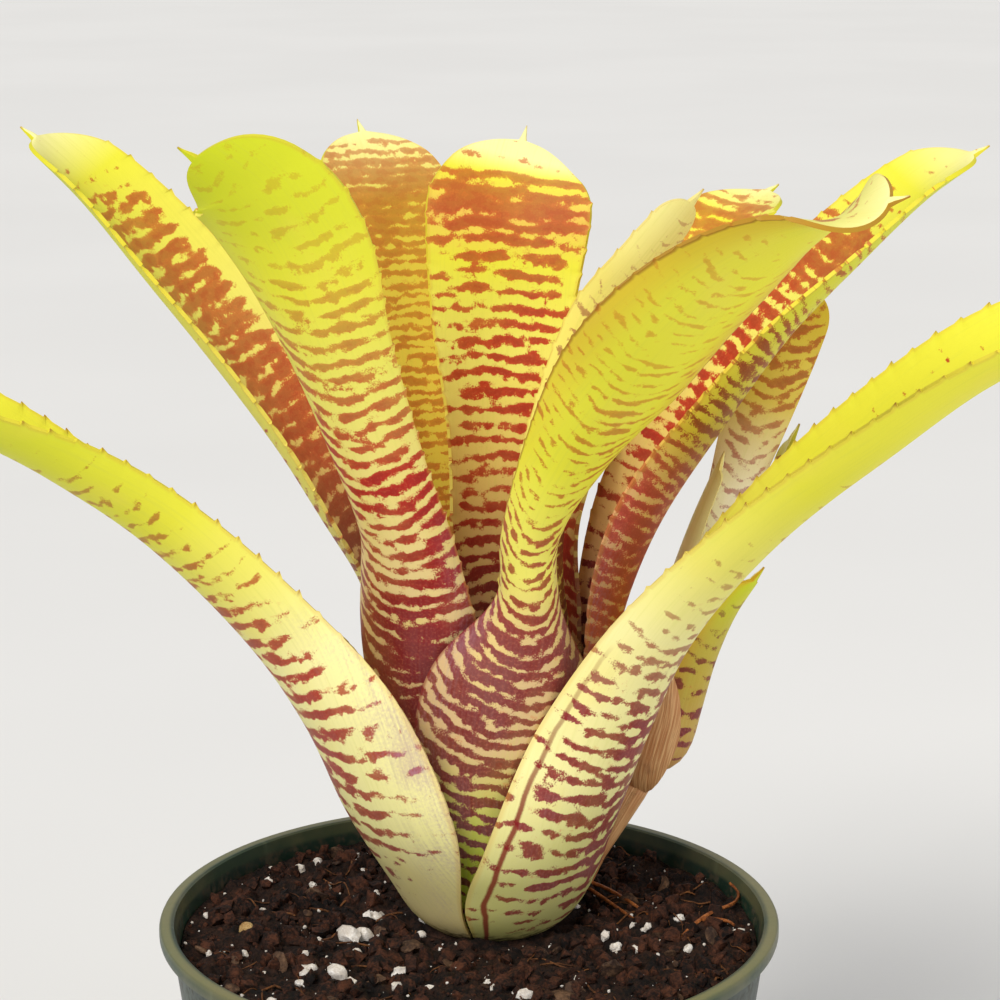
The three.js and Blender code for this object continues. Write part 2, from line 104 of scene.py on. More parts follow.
def keepPlaces(piece, places):
    piece.data.attributes.new("leafPlace", "FLOAT_VECTOR", "POINT").data.foreach_set("vector", places)


def easeBetween(value, low, high):
    t = min(max((value - low) / (high - low), 0), 1)
    return t * t * (3 - 2 * t)


def around(angle, reach):
    return reach * math.cos(angle), reach * math.sin(angle)


def paint(red, green, blue):
    # a colour as a picture editor shows it, turned into the linear one that the shader wants
    def linear(value):
        value /= 255
        return value / 12.92 if value <= 0.04045 else ((value + 0.055) / 1.055) ** 2.4
    return (linear(red), linear(green), linear(blue), 1.0)


# Shader maths: a Wire wraps a socket, and an expression of wires adds the Math nodes

class Wire:
    def __init__(self, finish, socket):
        self.finish = finish
        self.socket = socket

    def maths(self, operation, *values):
        return self.finish.add("ShaderNodeMath", {"operation": operation}, dict(enumerate(values)))

    def __add__(self, other):
        return self.maths("ADD", self, other)

    def __radd__(self, other):
        return self.maths("ADD", other, self)

    def __sub__(self, other):
        return self.maths("SUBTRACT", self, other)

    def __rsub__(self, other):
        return self.maths("SUBTRACT", other, self)

    def __mul__(self, other):
        return self.maths("MULTIPLY", self, other)

    def __rmul__(self, other):
        return self.maths("MULTIPLY", other, self)

    def __truediv__(self, other):
        return self.maths("DIVIDE", self, other)

    def wave(self):
        return self.maths("SINE", self * (2 * math.pi))

    def size(self):
        return self.maths("ABSOLUTE", self)

    def root(self):
        return self.maths("SQRT", self)

    def ease(self, low, high):
        return self.finish.add("ShaderNodeMapRange", {"interpolation_type": "SMOOTHSTEP"},
                               {"Value": self, "From Min": low, "From Max": high})

    def ramp(self, stops):
        return self.finish.add("ShaderNodeValToRGB", {"stops": stops}, {"Fac": self}, "Color")


class Finish:
    def __init__(self, name):
        self.material = bpy.data.materials.new(name)
        self.material.use_nodes = True
        self.tree = self.material.node_tree
        self.shader = self.tree.nodes["Principled BSDF"]

    def add(self, kind, settings, sockets, output=0):
        node = self.tree.nodes.new(kind)
        for setting, value in settings.items():
            if setting == "stops":
                self.setStops(node.color_ramp, value)
            else:
                setattr(node, setting, value)
        for key, value in sockets.items():
            self.plug(node.inputs[key], value)
        return Wire(self, node.outputs[output])

    def setStops(self, ramp, stops):
        while len(ramp.elements) < len(stops):
            ramp.elements.new(1.0)
        for element, (place, value) in zip(ramp.elements, stops.items()):
            element.position = place
            element.color = value if isinstance(value, tuple) else (value, value, value, 1)

    def plug(self, socket, value):
        if isinstance(value, Wire):
            self.tree.links.new(value.socket, socket)
        else:
            socket.default_value = value

    def blend(self, factor, first, second):
        # inputs 6 and 7 and output 2 of a Mix node are its colours
        return self.add("ShaderNodeMix", {"data_type": "RGBA"}, {0: factor, 6: first, 7: second}, 2)

    def split(self, vector):
        node = self.add("ShaderNodeSeparateXYZ", {}, {0: vector}).socket.node
        return [Wire(self, output) for output in node.outputs]

    def place(self, x, y, z):
        return self.add("ShaderNodeCombineXYZ", {}, {0: x, 1: y, 2: z})

    def cloud(self, vector, scale, detail=2.0, roughness=0.5):
        return self.add("ShaderNodeTexNoise", {}, {"Vector": vector, "Scale": scale, "Detail": detail,
                                                   "Roughness": roughness}, "Fac")

    def attribute(self, name, output="Fac"):
        return self.add("ShaderNodeAttribute", {"attribute_name": name}, {}, output)

    def objectPlace(self):
        return self.add("ShaderNodeTexCoord", {}, {}, "Object")

    def heightAboveFloor(self):
        return self.split(self.objectPlace())[2] * 1000

    def close(self, colour, roughness, height=None, relief=0.0, depth=0.0, **constants):
        self.plug(self.shader.inputs["Base Color"], colour)
        self.plug(self.shader.inputs["Roughness"], roughness)
        for socket, value in constants.items():
            self.shader.inputs[socket.replace("_", " ")].default_value = value
        if height is not None:
            bump = self.add("ShaderNodeBump", {}, {"Strength": relief, "Distance": depth, "Height": height})
            self.plug(self.shader.inputs["Normal"], bump)
        return self.material


# The banded skin of the leaves. Stops run from the foot, 0, to the tip, 1: how much of the face the
# bands cover, how strong they are, the ground between them, and their colour. Sizes are in millimetres.

lime = paint(206, 216, 36)
lemon = paint(226, 222, 60)
butter = paint(230, 222, 104)
cream = paint(236, 228, 156)
greenish = paint(176, 192, 50)
foot = paint(212, 184, 126)
flesh = paint(208, 176, 124)
blush = paint(212, 166, 114)
amber = paint(216, 160, 40)
tipCream = paint(242, 236, 158)
brick = paint(180, 40, 26)
rust = paint(188, 64, 32)
maroon = paint(82, 12, 14)
wine = paint(126, 20, 26)
ember = paint(208, 106, 60)
toothBrown = paint(150, 84, 30)
scurf = paint(222, 208, 206)
lilac = paint(164, 128, 150)
dirt = paint(58, 38, 26)

nowhere = {0: 0, 1: 0}
creamToLemon = {0: cream, 0.35: butter, 0.6: lemon}
bothSkins = {"lean": 0.0, "stipple": 1.1, "rim": 0.3, "rimColour": paint(208, 160, 60), "warm": nowhere}
outerSkin = {
    **bothSkins,
    "cover": {0: 0.5, 0.25: 0.74, 0.5: 0.56, 0.7: 0.42, 0.86: 0.22, 0.94: 0},
    "strength": {0: 1, 0.6: 0.96, 0.85: 0.6, 1: 0.4},
    "ground": {0: foot, 0.3: cream, 0.55: butter, 0.8: lemon, 1: lime},
    "band": {0: maroon, 0.35: wine, 0.6: brick, 1: rust},
    "scurf": {0: 0.2, 0.3: 0.1, 0.5: 0.03, 1: 0},
    "marginBloom": {0: 0.2, 0.25: 0.4, 0.42: 0.3, 0.55: 0},
    "pitch": 3.1, "bow": -2.5, "wander": 3.4, "dash": 3.0, "marginClear": 0.1, "rough": 0.42,
}
innerSkin = {
    **bothSkins,
    "cover": {0: 0.78, 0.3: 0.7, 0.5: 0.5, 0.8: 0.48, 0.87: 0.56, 0.895: 0.84, 0.93: 0.8, 0.965: 0.3,
             0.985: 0},
    "strength": {0: 1, 0.8: 0.96, 1: 0.7},
    "ground": {0: flesh, 0.4: blush, 0.58: paint(230, 202, 108), 0.72: butter, 0.93: lemon, 1: tipCream},
    "band": {0: maroon, 0.35: maroon, 0.55: brick, 1: rust},
    "scurf": {0: 0.14, 0.35: 0.06, 0.6: 0, 1: 0},
    "marginBloom": {0: 0.2, 0.4: 0.1, 0.5: 0},
    "pitch": 3.0, "bow": 1.0, "wander": 3.2, "dash": 3.4, "marginClear": 0.2, "rough": 0.4,
}
foldLineFade = {0: 0, 0.03: 0.9, 0.2: 0.9, 0.36: 0.3, 0.38: 0}  # how the line of a fold shows up the leaf
dirtHeights = (84.6, 88.0)  # where the dirt of the mix fades out

# Noises of a skin: size across and along the leaf, what it adds to the seed, detail, roughness
skinNoises = {"wander": (9, 6, 0, 1), "ripple": (1.3, 1.5, 3, 1), "dash": (3.8, 2.2, 7, 1),
              "patch": (13, 18, 11, 2), "stipple": (0.3, 0.3, 17, 1, 0.6), "blotch": (2.4, 1.5, 37, 2),
              "streak": (0.5, 14, 23, 3), "fine": (0.55, 0.55, 29, 2, 0.6)}


def leafSkin(name, look, seed):
    skin = Finish(name)
    across, along, share = skin.split(skin.attribute("leafPlace", "Vector"))
    edge = skin.attribute("edge")
    tooth = skin.attribute("tooth")
    edgeShare = edge.size()

    def noiseOf(which):
        acrossSize, alongSize, offset, *grain = skinNoises[which]
        return skin.cloud(skin.place(across / acrossSize, along / alongSize, seed + offset), 1.0, *grain)

    centred = ("wander", "ripple", "dash", "patch", "stipple", "blotch")
    wander, ripple, dash, patch, stipple, blotch = [noiseOf(which) - 0.5 for which in centred]
    streak, fine = noiseOf("streak"), noiseOf("fine")

    # bands: a wave along the leaf, bowed at the keel, wandering, broken into dashes, grainy at their edges
    bowed = edgeShare * edgeShare * (1.4 - edgeShare * 0.4) * look["bow"]
    phase = (along + bowed + wander * look["wander"] + ripple * 1.5) / look["pitch"]
    cover = (share.ramp(look["cover"]) + patch * 0.5 - edgeShare.ease(0.6, 0.98) * look["marginClear"]
             + edge * look["lean"])
    level = (phase.wave() * 0.55 + dash * look["dash"] + ripple * 0.7 + (cover - 0.5) * 2.3
             + stipple * look["stipple"])
    strength = share.ramp(look["strength"])
    bands = level.ease(-0.2, 0.24) * strength * (0.88 + patch.ease(-0.16, 0.1) * 0.12)

    # the ground has green streaks, yellow patches and faint rusty blotches between the bands
    ground = share.ramp(look["ground"])
    ground = skin.blend(streak.ease(0.45, 0.8) * 0.2, ground, paint(196, 200, 70))
    ground = skin.blend(patch.ease(0.0, 0.25) * 0.3, ground, paint(236, 216, 84))
    ghost = (blotch + level * 0.12 + stipple * 0.25).ease(0.06, 0.24) * strength
    ground = skin.blend(ghost * (cover + 0.15).ease(0.1, 0.6) * 0.42, ground, ember)
    ground = skin.blend(share.ramp(look["warm"]) * edgeShare.ease(0.4, 1.0), ground, amber)
    bandColour = share.ramp(look["band"])
    bandColour = skin.blend(level.ease(0.2, 0.9) * 0.25, bandColour, maroon)
    bandColour = skin.blend(fine.ease(0.5, 0.7) * 0.2, bandColour, ember)
    colour = skin.blend(bands, ground, bandColour)

    # bloom of scurf low down and beside the margins, a rim, brown teeth and dirt where it meets the mix
    bloom = share.ramp(look["scurf"]) * (streak * 0.4 + fine * 0.3 + patch + 0.15).ease(0.3, 0.9)
    colour = skin.blend(bloom, colour, scurf)
    margin = (share.ramp(look["marginBloom"]) * edgeShare.ease(0.5, 0.95)
              * (streak * 0.6 + fine * 0.6 + patch).ease(0.4, 0.9))
    colour = skin.blend(margin, colour, lilac)
    if "foldLine" in look:
        line = 1 - (edge - look["foldLine"] + wander * 0.05 + stipple * 0.01).size().ease(0.01, 0.03)
        colour = skin.blend(line * share.ramp(foldLineFade), colour, wine)
    colour = skin.blend(edgeShare.ease(0.95, 0.99) * look["rim"], colour, look["rimColour"])
    colour = skin.blend(tooth.ease(0.3, 1.0), colour, toothBrown)
    soiled = 1 - (skin.heightAboveFloor() + blotch * 7 + fine * 2).ease(*dirtHeights)
    colour = skin.blend(soiled * 0.85, colour, dirt)
    relief = streak * 0.4 + fine * 0.6 + stipple * 0.3 + bands * 0.1
    rough = look["rough"] + fine * 0.14 + bloom * 0.25 + soiled * 0.3
    return skin.close(colour, rough, relief, 0.2, 0.0002, Specular_IOR_Level=0.14)


# Leaves. A leaf has the azimuth it points to, its layer in the nest of sheaths, the half angle its sheath
# wraps, the angle at which it leaves the cup, and stations up its midrib: out from the axis, up, breadth
# over the curve, half angle of the fold, and twist and sideways where they aren't 0.

plantAxis = {"x": 4, "y": 12}
rosetteCup = {"stemRadius": 5.3, "reach": 16, "depth": 24, "top": 106, "pitch": 1.6}
pupCup = {"stemRadius": 1.6, "reach": 6, "depth": 8, "top": 8, "pitch": 1.5}
pupFrame = {"azimuth": 32, "out": 33, "up": 107, "leanAzimuth": 12, "lean": 17}
leafBuild = {"sheathThickness": 0.9, "bladeThickness": 1.15, "marginThickness": 0.75, "columns": 20,
             "sheathShare": 0.9, "tipShare": 0.55, "toothPitch": 4.4, "toothRows": 6,
             "toothHeight": 0.85, "toothLean": 1.0, "toothFrom": (0.36, 0.5), "toothThickness": 0.25,
             "firstTooth": 1.55, "mucroLength": 3.2, "mucroWidth": 1.5}


def leafOf(azimuth, layer, wrap, stations, cupAngle=90):
    return {"azimuth": azimuth, "layer": layer, "wrap": wrap, "stations": stations, "cupAngle": cupAngle}


rosetteLeaves = {
    "leaf_low_left": leafOf(-160, 0, 53, [
        (27, 107, 54, 62, -2), (35, 125, 51, 80, -4), (45, 141, 37, 78, 6), (61, 159, 31, 72, 10),
        (76, 171, 31, 70, 5), (90, 180, 29, 60, -2), (104, 186, 27, 48, -2),
        (118, 187, 23, 38)], cupAngle=56),
    "leaf_low_right": leafOf(-24, 0, 80, [
        (22.5, 104, 50.6, 62.8, -4.5, -1.8), (29, 122, 43.5, 75.8, -6.7, -1.2),
        (38, 141, 37, 80, -0.2, -0.4), (54, 161, 33, 78, 8), (74, 179, 33, 74, 14), (90, 192, 31, 64, 15),
        (106, 200, 28, 52, 10), (121, 203, 24, 40, 6)], cupAngle=60),
    "leaf_low_back": leafOf(96, 0, 34, [
        (27, 108, 32, 40), (36, 127, 27, 55), (47, 144, 25, 60), (60, 158, 26, 60), (75, 170, 27, 54),
        (90, 178, 26, 46), (106, 180, 22, 38)], cupAngle=56),
    "leaf_front": leafOf(-84, 1, 48, [
        (20.6, 120, 35, 49), (22.3, 134, 33, 53, 0, 2), (25, 149, 16, 80, 0, 4), (29, 161, 14, 76, 0, 4),
        (37, 175, 18, 58, 0, 8.5), (48, 188.5, 25, 48, 0, 15), (60, 202, 28, 38, 8, 22.5),
        (71, 214, 27, 32, 16, 32), (80, 222, 26, 28, 30, 42), (86, 226, 24, 28, 60, 49)]),
    "leaf_upper_left": leafOf(170, 3, 36, [
        (16.9, 118, 20, 36), (19.2, 134, 20, 40), (24.2, 147.5, 18, 42, -4, -2),
        (30, 160, 26, 54, -12, -0.5), (37, 172, 31, 57, -13), (48.5, 187.5, 32, 55, -13),
        (59.5, 201, 30, 50, -13), (71, 214.5, 25, 44, -12), (82, 224.5, 20, 38, -10)]),
    "leaf_upper_right": leafOf(4, 1, 34, [
        (20, 118, 24, 35), (21.5, 132, 25, 54, -2), (25, 146, 31, 70, -2, 0.6), (31, 160, 37, 76, -1, 0.6),
        (41, 176, 36.5, 72, 3, 0.3), (51.5, 191.5, 33.5, 58, 5), (63.5, 205, 28, 46, 9),
        (74.5, 216, 22, 38, 11), (84, 222.5, 16, 32, 10)]),
    "leaf_front_left": leafOf(-127, 2, 53, [
        (18.2, 119, 33, 54, 0, -2), (18.8, 133, 36.5, 60, 0, -6), (22, 146, 27.5, 58, 6, -3.5),
        (26.5, 158, 22.5, 62, 10, -1), (34.5, 175, 22, 54, 8, -1), (44, 196, 25, 40, 6, -1.5),
        (52, 213, 31, 30, 8, -2.5), (58.5, 222.5, 31, 26, 12, -5), (63.5, 228, 27, 24, 15, -10)]),
    "leaf_back_left": leafOf(118, 2, 34, [
        (18.4, 120, 20, 32), (21, 138, 16, 32, 0, -1), (23, 152, 17, 42, 0, -1), (27, 168, 20, 42),
        (33, 186, 23, 34), (40, 203, 27, 28), (47, 216, 27, 24), (52, 222, 25, 20)]),
    "leaf_back_right": leafOf(46, 2, 24, [
        (17.6, 122, 15, 28), (18, 140, 19, 42, 0, 0.5), (19.5, 157, 22, 46, 0, 2.5),
        (33, 176, 23, 42, 0, 3.5), (53, 195, 24, 36), (64, 205, 22, 30, 0, -1), (73.5, 210, 18, 26, 0, -2)]),
    "leaf_back": leafOf(88, 3, 42, [
        (15.8, 122, 22, 42), (15.2, 140, 20, 52), (16.5, 156, 19, 56), (19.5, 172, 21, 48, 0, -0.5),
        (23, 190, 27, 36, 0, -1), (27, 207, 31, 28, 0, -2), (30, 216, 31, 24, 0, -3),
        (33, 222, 27, 20, 0, -4.5)]),
    "leaf_inner_right": leafOf(-55, 3, 40, [
        (16, 122, 20, 40, 0, 2), (14, 140, 18, 52, 0, 2), (12, 155, 16, 60, 0, 3), (11, 175, 13, 45, 0, 7),
        (12.5, 195, 12, 30, 0, 14), (16, 206, 11, 24, 0, 22), (19, 215, 9, 20, 0, 29)]),
    "leaf_heart_outer": leafOf(-150, 4, 70, [
        (13, 117, 24, 62), (11.5, 127, 19, 60), (10.5, 136, 13, 50)]),
    "leaf_heart_inner": leafOf(30, 5, 75, [
        (11, 116, 20, 66), (9.5, 125, 16, 62), (8.5, 132, 11, 50)]),
}
pupLeaves = {
    "pup_leaf_low": leafOf(-38, 0, 75, [
        (7.4, 14, 19, 72), (7.2, 24, 16, 62), (8.4, 33, 12, 54), (11, 41, 8, 46)], cupAngle=85),
    "pup_leaf_tall": leafOf(-80, 2, 80, [
        (4.3, 18, 10.5, 68), (3.6, 34, 9, 58), (3.2, 52, 10, 44), (4, 67, 13, 36), (5, 82, 15, 28),
        (7.5, 95, 14, 24)]),
    "pup_leaf_left": leafOf(-155, 1, 58, [
        (6.4, 18, 11, 58), (6.8, 34, 7.5, 50, 0, 1), (6.7, 48, 5.5, 46, 0, 2), (6, 59, 4, 44, 0, 3)]),
    "pup_leaf_right": leafOf(5, 1, 58, [
        (5.7, 17, 9.5, 48), (5.4, 30, 8, 46), (6.8, 44, 8.5, 42), (8.4, 57, 8, 38), (8.8, 67, 6, 36)]),
}

# What is particular to one leaf's faces; the rest of its look is that of outerSkin and innerSkin
leafLooks = {
    "leaf_low_left": {"teeth": 0.75, "outer": {
        "pitch": 3.8, "bow": 0.5, "lean": -0.36, "dash": 3.6,
        "marginBloom": {0: 0.1, 0.25: 0.6, 0.4: 0.5, 0.5: 0},
        "cover": {0: 0, 0.12: 0.14, 0.18: 0.5, 0.26: 0.6, 0.44: 0.56, 0.54: 0.46, 0.68: 0.4, 0.9: 0.16},
        "strength": {0: 0.9, 0.4: 1, 0.56: 0.85, 0.8: 0.55},
        "ground": {0: foot, 0.2: cream, 0.42: cream, 0.52: butter, 0.62: lemon, 1: lime},
        "band": {0: wine, 0.3: paint(160, 44, 34), 0.52: paint(176, 66, 32), 0.75: paint(170, 94, 30)},
    }, "inner": {
        "cover": {0: 0.5, 0.3: 0.4, 0.5: 0.2, 0.62: 0, 1: 0},
        "ground": creamToLemon,
    }},
    "leaf_low_right": {"teeth": 0.75, "outer": {
        "pitch": 3.1, "bow": -2.5, "lean": 0.32, "dash": 3.9, "foldLine": -0.87,
        "cover": {0: 0.16, 0.1: 0.5, 0.18: 0.66, 0.3: 0.6, 0.42: 0.4, 0.56: 0.2, 0.72: 0},
        "strength": {0: 0.95, 0.3: 1, 0.42: 0.65, 0.6: 0.4, 1: 0.3},
        "ground": {0: paint(184, 178, 104), 0.14: paint(206, 202, 124), 0.24: cream, 0.4: cream,
                 0.5: butter, 0.62: lemon, 1: paint(236, 230, 70)},
        "band": {0: wine, 0.3: paint(138, 26, 26), 1: brick}, "marginBloom": nowhere,
    }, "inner": {
        "cover": {0: 0.5, 0.3: 0.4, 0.45: 0.15, 0.55: 0, 1: 0},
        "ground": creamToLemon,
    }},
    "leaf_front": {"teeth": 0.35, "outer": {
        "pitch": 2.7, "bow": -6.5, "rim": 0.6, "rimColour": wine,
        "cover": {0: 0.4, 0.16: 0.52, 0.24: 0.62, 0.36: 0.6, 0.42: 0.4, 0.52: 0.32, 0.66: 0.31, 0.82: 0.24,
                 0.96: 0},
        "strength": {0: 1, 0.4: 0.96, 0.55: 0.75, 0.75: 0.5, 1: 0.4},
        "band": {0: maroon, 0.35: wine, 0.55: brick, 0.75: paint(206, 108, 30), 1: paint(212, 132, 40)},
        "ground": {0: greenish, 0.15: greenish, 0.25: flesh, 0.36: flesh, 0.43: butter, 0.56: lemon,
                 1: paint(232, 226, 66)},
        "warm": {0: 0, 0.5: 0, 0.7: 0.5, 1: 0.5},
    }},
    "leaf_front_left": {"teeth": 0.5, "outer": {
        "pitch": 3.2, "bow": -2.5, "lean": 0.06,
        "cover": {0: 0.6, 0.2: 0.78, 0.36: 0.76, 0.42: 0.62, 0.5: 0.5, 0.64: 0.5, 0.78: 0.42, 0.88: 0.3,
                 1: 0.2},
        "strength": {0: 1, 0.62: 1, 0.78: 0.62, 0.86: 0.35, 1: 0.22},
        "ground": {0: greenish, 0.2: flesh, 0.36: flesh, 0.46: paint(226, 200, 138),
                 0.6: paint(230, 212, 124), 0.7: butter, 0.82: lemon, 1: lime},
    }},
    "leaf_back_left": {"teeth": 0.4, "inner": {
        "pitch": 2.0, "wander": 2.4, "strength": {0: 0.9, 0.5: 0.75, 1: 0.6},
        "cover": {0: 0.78, 0.3: 0.6, 0.5: 0.5, 0.8: 0.52, 0.86: 0.8, 0.93: 0.86, 0.965: 0.6, 1: 0.1},
        "band": {0: maroon, 0.4: brick, 0.6: paint(186, 84, 26), 1: rust},
        "ground": {0: cream, 0.5: paint(222, 196, 70), 0.9: paint(224, 204, 72), 1: tipCream},
    }},
    "leaf_back": {"teeth": 0.3, "inner": {
        "ground": {0: flesh, 0.4: blush, 0.58: paint(230, 200, 106), 0.72: butter, 0.84: lemon,
                 0.9: paint(226, 186, 82), 0.95: lemon, 0.975: tipCream},
    }},
    "leaf_upper_left": {"teeth": 0.6, "outer": {
        "cover": {0: 0.6, 0.4: 0.6, 0.54: 0.36, 0.64: 0, 1: 0},
    }, "inner": {
        "cover": {0: 0.8, 0.5: 0.72, 0.8: 0.7, 0.88: 0.6, 0.94: 0}, "marginClear": 1.3, "pitch": 3.6,
        "strength": {0: 0.9, 0.6: 0.85, 1: 0.75},
    }},
    "leaf_upper_right": {"teeth": 0.6, "outer": {
        "cover": {0: 0.84, 0.45: 0.74, 0.6: 0.56, 0.86: 0.4, 0.95: 0}, "bow": -1.5, "pitch": 2.4,
        "stipple": 2.0, "strength": {0: 1, 1: 0.9},
        # low on the outer face the pinkish ground and bands are the leaf's own colour lightened further,
        # painted light where this face lies in the shade of leaf_front
        "ground": {0: flesh, 0.5: paint(234, 184, 140), 0.6: paint(206, 180, 56), 0.75: lemon, 1: lime},
        "band": {0: paint(176, 56, 56), 0.3: paint(206, 84, 74), 0.52: paint(196, 72, 64),
                 0.62: paint(140, 56, 16), 0.8: paint(176, 66, 20), 1: rust},
        "marginBloom": {0: 0.4, 0.4: 0.5, 0.5: 0},
    }, "inner": {
        "cover": {0: 0.84, 0.4: 0.72, 0.6: 0.56, 0.78: 0.56, 0.8: 0.9, 0.86: 0.9, 0.885: 0.1, 1: 0},
        "marginClear": 0.4,
    }},
    "leaf_back_right": {"teeth": 0.4, "inner": {
        "cover": {0: 0.8, 0.5: 0.7, 0.74: 0.84, 0.93: 0.86, 1: 0.2},
        "band": {0: maroon, 0.5: brick, 0.75: paint(192, 80, 36), 1: paint(198, 92, 40)},
    }},
    "leaf_inner_right": {"teeth": 0.6, "outer": {
        "cover": {0: 0.7, 0.3: 0.6, 0.5: 0.54, 0.84: 0.46, 0.95: 0.1, 1: 0}, "pitch": 2.2, "lean": 0.3,
        "ground": {0: cream, 0.5: butter, 0.8: paint(240, 226, 110), 1: tipCream},
        "band": {0: maroon, 0.5: wine, 1: paint(166, 52, 72)},
    }},
    "pup_leaf_low": {"teeth": 0.2, "outer": {
        "pitch": 3.2, "dash": 4.0, "cover": {0: 0.1, 0.3: 0.34, 0.7: 0.36, 0.9: 0.1, 1: 0},
        "band": {0: wine, 1: paint(112, 36, 44)}, "warm": {0: 0.6, 1: 0.6},
        "ground": {0: paint(190, 128, 58), 0.3: paint(186, 152, 68), 0.7: paint(192, 176, 66), 1: lime},
    }},
    "pup_leaf_tall": {"teeth": 0.0, "outer": {
        "cover": {0: 0.4, 0.3: 0.42, 0.6: 0.36, 0.8: 0.5, 0.97: 0.4, 1: 0.2}, "rough": 0.26, "bow": -4.0,
        "strength": {0: 0.9, 0.5: 0.6, 0.7: 0.75, 1: 0.85},
        "ground": {0: cream, 0.56: paint(242, 232, 196), 0.76: paint(218, 190, 78), 1: paint(206, 176, 30)},
        "band": {0: wine, 0.56: paint(160, 64, 84), 0.76: paint(170, 74, 22), 1: paint(172, 74, 18)},
    }, "inner": {
        "cover": {0: 0.4, 0.4: 0.5, 0.7: 0.56, 0.97: 0.5, 1: 0.2},
    }},
    # its pale cream grounds on both faces are its own colour lightened further, painted light on a leaf that
    # lies in shade
    "pup_leaf_left": {"teeth": 0.0, "outer": {
        "cover": {0: 0.5, 0.4: 0.56, 0.6: 0.44, 0.74: 0, 1: 0},
        "ground": {0: cream, 0.5: paint(244, 238, 190), 0.8: paint(236, 234, 160), 1: cream},
    }, "inner": {
        "cover": {0: 0.5, 0.5: 0.5, 0.7: 0.2, 0.8: 0, 1: 0},
        "ground": {0: cream, 0.5: paint(244, 238, 190), 1: paint(240, 236, 170)},
    }},
    "pup_leaf_right": {"teeth": 0.0, "outer": {
        "cover": {0: 0.4, 0.5: 0.4, 0.7: 0.1, 1: 0},
        "ground": {0: cream, 0.5: greenish, 1: greenish},
    }},
}
plainLook = {"teeth": 0.5, "outer": {}, "inner": {}}


class Midrib:
    # smooth curve through a leaf's stations, first round the cup of sheaths and then up the blade. A station
    # here is out, up, sideways, breadth, fold, twist, and 1 to 0 as its section goes from level to square.
    def __init__(self, leaf, cup):
        reach = cup["reach"] - leaf["layer"] * cup["pitch"]
        depth = cup["depth"] - leaf["layer"] * cup["pitch"]
        self.stations = []
        for share in (0, 0.3, 0.65, 1):
            angle = math.radians(share * leaf["cupAngle"])
            out = cup["stemRadius"] + reach * math.sin(angle)
            height = cup["top"] - depth * math.cos(angle)
            self.stations.append((out, height, 0, 2 * math.radians(leaf["wrap"]) * out, leaf["wrap"], 0, 1))
        for i, (out, height, breadth, fold, *rest) in enumerate(leaf["stations"]):
            twist, side = (*rest, 0, 0)[:2]
            self.stations.append((out, height, side, breadth, fold, twist, max(0, 0.5 - 0.5 * i)))
        self.knots = [0]
        for a, b in zip(self.stations, self.stations[1:]):
            self.knots.append(self.knots[-1] + math.dist(a[:3], b[:3]))
        self.length = self.knots[-1]
        self.outward = Vector((*around(math.radians(leaf["azimuth"]), 1), 0))
        self.sideways = Vector((-self.outward.y, self.outward.x, 0))
        self.tipLength = leafBuild["tipShare"] * self.stations[-1][3]
        self.sheathEnd = leafBuild["sheathShare"] * cup["depth"]
        self.toothStart = leafBuild["firstTooth"] * cup["depth"]

    def slope(self, i, k):
        low, high = max(i - 1, 0), min(i + 1, len(self.stations) - 1)
        return (self.stations[high][k] - self.stations[low][k]) / (self.knots[high] - self.knots[low])

    def at(self, distance):
        d = min(max(distance, 0), self.length)
        i = 0
        while i < len(self.stations) - 2 and d > self.knots[i + 1]:
            i += 1
        span = self.knots[i + 1] - self.knots[i]
        t = (d - self.knots[i]) / span
        a, b = self.stations[i], self.stations[i + 1]
        return [(2 * t ** 3 - 3 * t ** 2 + 1) * a[k] + (t ** 3 - 2 * t ** 2 + t) * span * self.slope(i, k)
                + (3 * t ** 2 - 2 * t ** 3) * b[k] + (t ** 3 - t ** 2) * span * self.slope(i + 1, k)
                for k in range(len(a))]

    def spine(self, distance):
        out, height, side = self.at(distance)[:3]
        return self.outward * out + self.sideways * side + up * height

    def section(self, distance):
        # the frame of one cross section: its middle, its axes, how it curves, and the way to the tip
        past = max(0, distance - self.length)
        distance -= past
        middle = self.spine(distance)
        step = 0.05
        ahead, behind = self.spine(min(distance + step, self.length)), self.spine(max(distance - step, 0))
        tangent = (ahead - behind).normalized()
        breadth, fold, twist, level = self.at(distance)[3:]
        side = (self.sideways - tangent * (self.sideways.dot(tangent) * (1 - level))).normalized()
        inward = (tangent.cross(side).normalized() * (1 - level) - self.outward * level).normalized()
        turn = math.radians(twist)
        acrossAxis = side * math.cos(turn) + inward * math.sin(turn)
        foldAxis = inward * math.cos(turn) - side * math.sin(turn)
        half = math.radians(max(fold, 2))
        return {"middle": middle + tangent * past, "across": acrossAxis, "fold": foldAxis, "half": half,
                "radius": breadth / (2 * half), "breadth": breadth, "tangent": tangent}


def leafRows(midrib):
    # plain rows up the sheath, a few rows to each tooth along the blade, then the round tip and its point.
    # A row is its distance from the foot, its breadth where that is given, and whether a tooth stands on it.
    rows = []
    plain = max(6, round(midrib.toothStart / 2))
    for i in range(plain):
        rows.append((midrib.toothStart * i / plain, None, False))
    tipStart = midrib.length - midrib.tipLength
    toothedLength = tipStart + 0.5 * midrib.tipLength - midrib.toothStart
    teeth = max(1, round(toothedLength / leafBuild["toothPitch"]))
    perTooth = leafBuild["toothRows"]
    step = toothedLength / (perTooth * teeth)
    for i in range(perTooth * teeth):
        rows.append((midrib.toothStart + i * step, None, i % perTooth == 1))
    narrowest = 0.8 * leafBuild["mucroWidth"]
    for share in (0.5, 0.56, 0.62, 0.68, 0.74, 0.79, 0.84, 0.88, 0.915, 0.945, 0.97, 0.988, 1.0):
        rows.append((tipStart + share * midrib.tipLength, None, False))
    for share in (0.3, 0.65, 1.0):
        rows.append((midrib.length + share * leafBuild["mucroLength"], narrowest * (1.1 - share), False))
    return rows


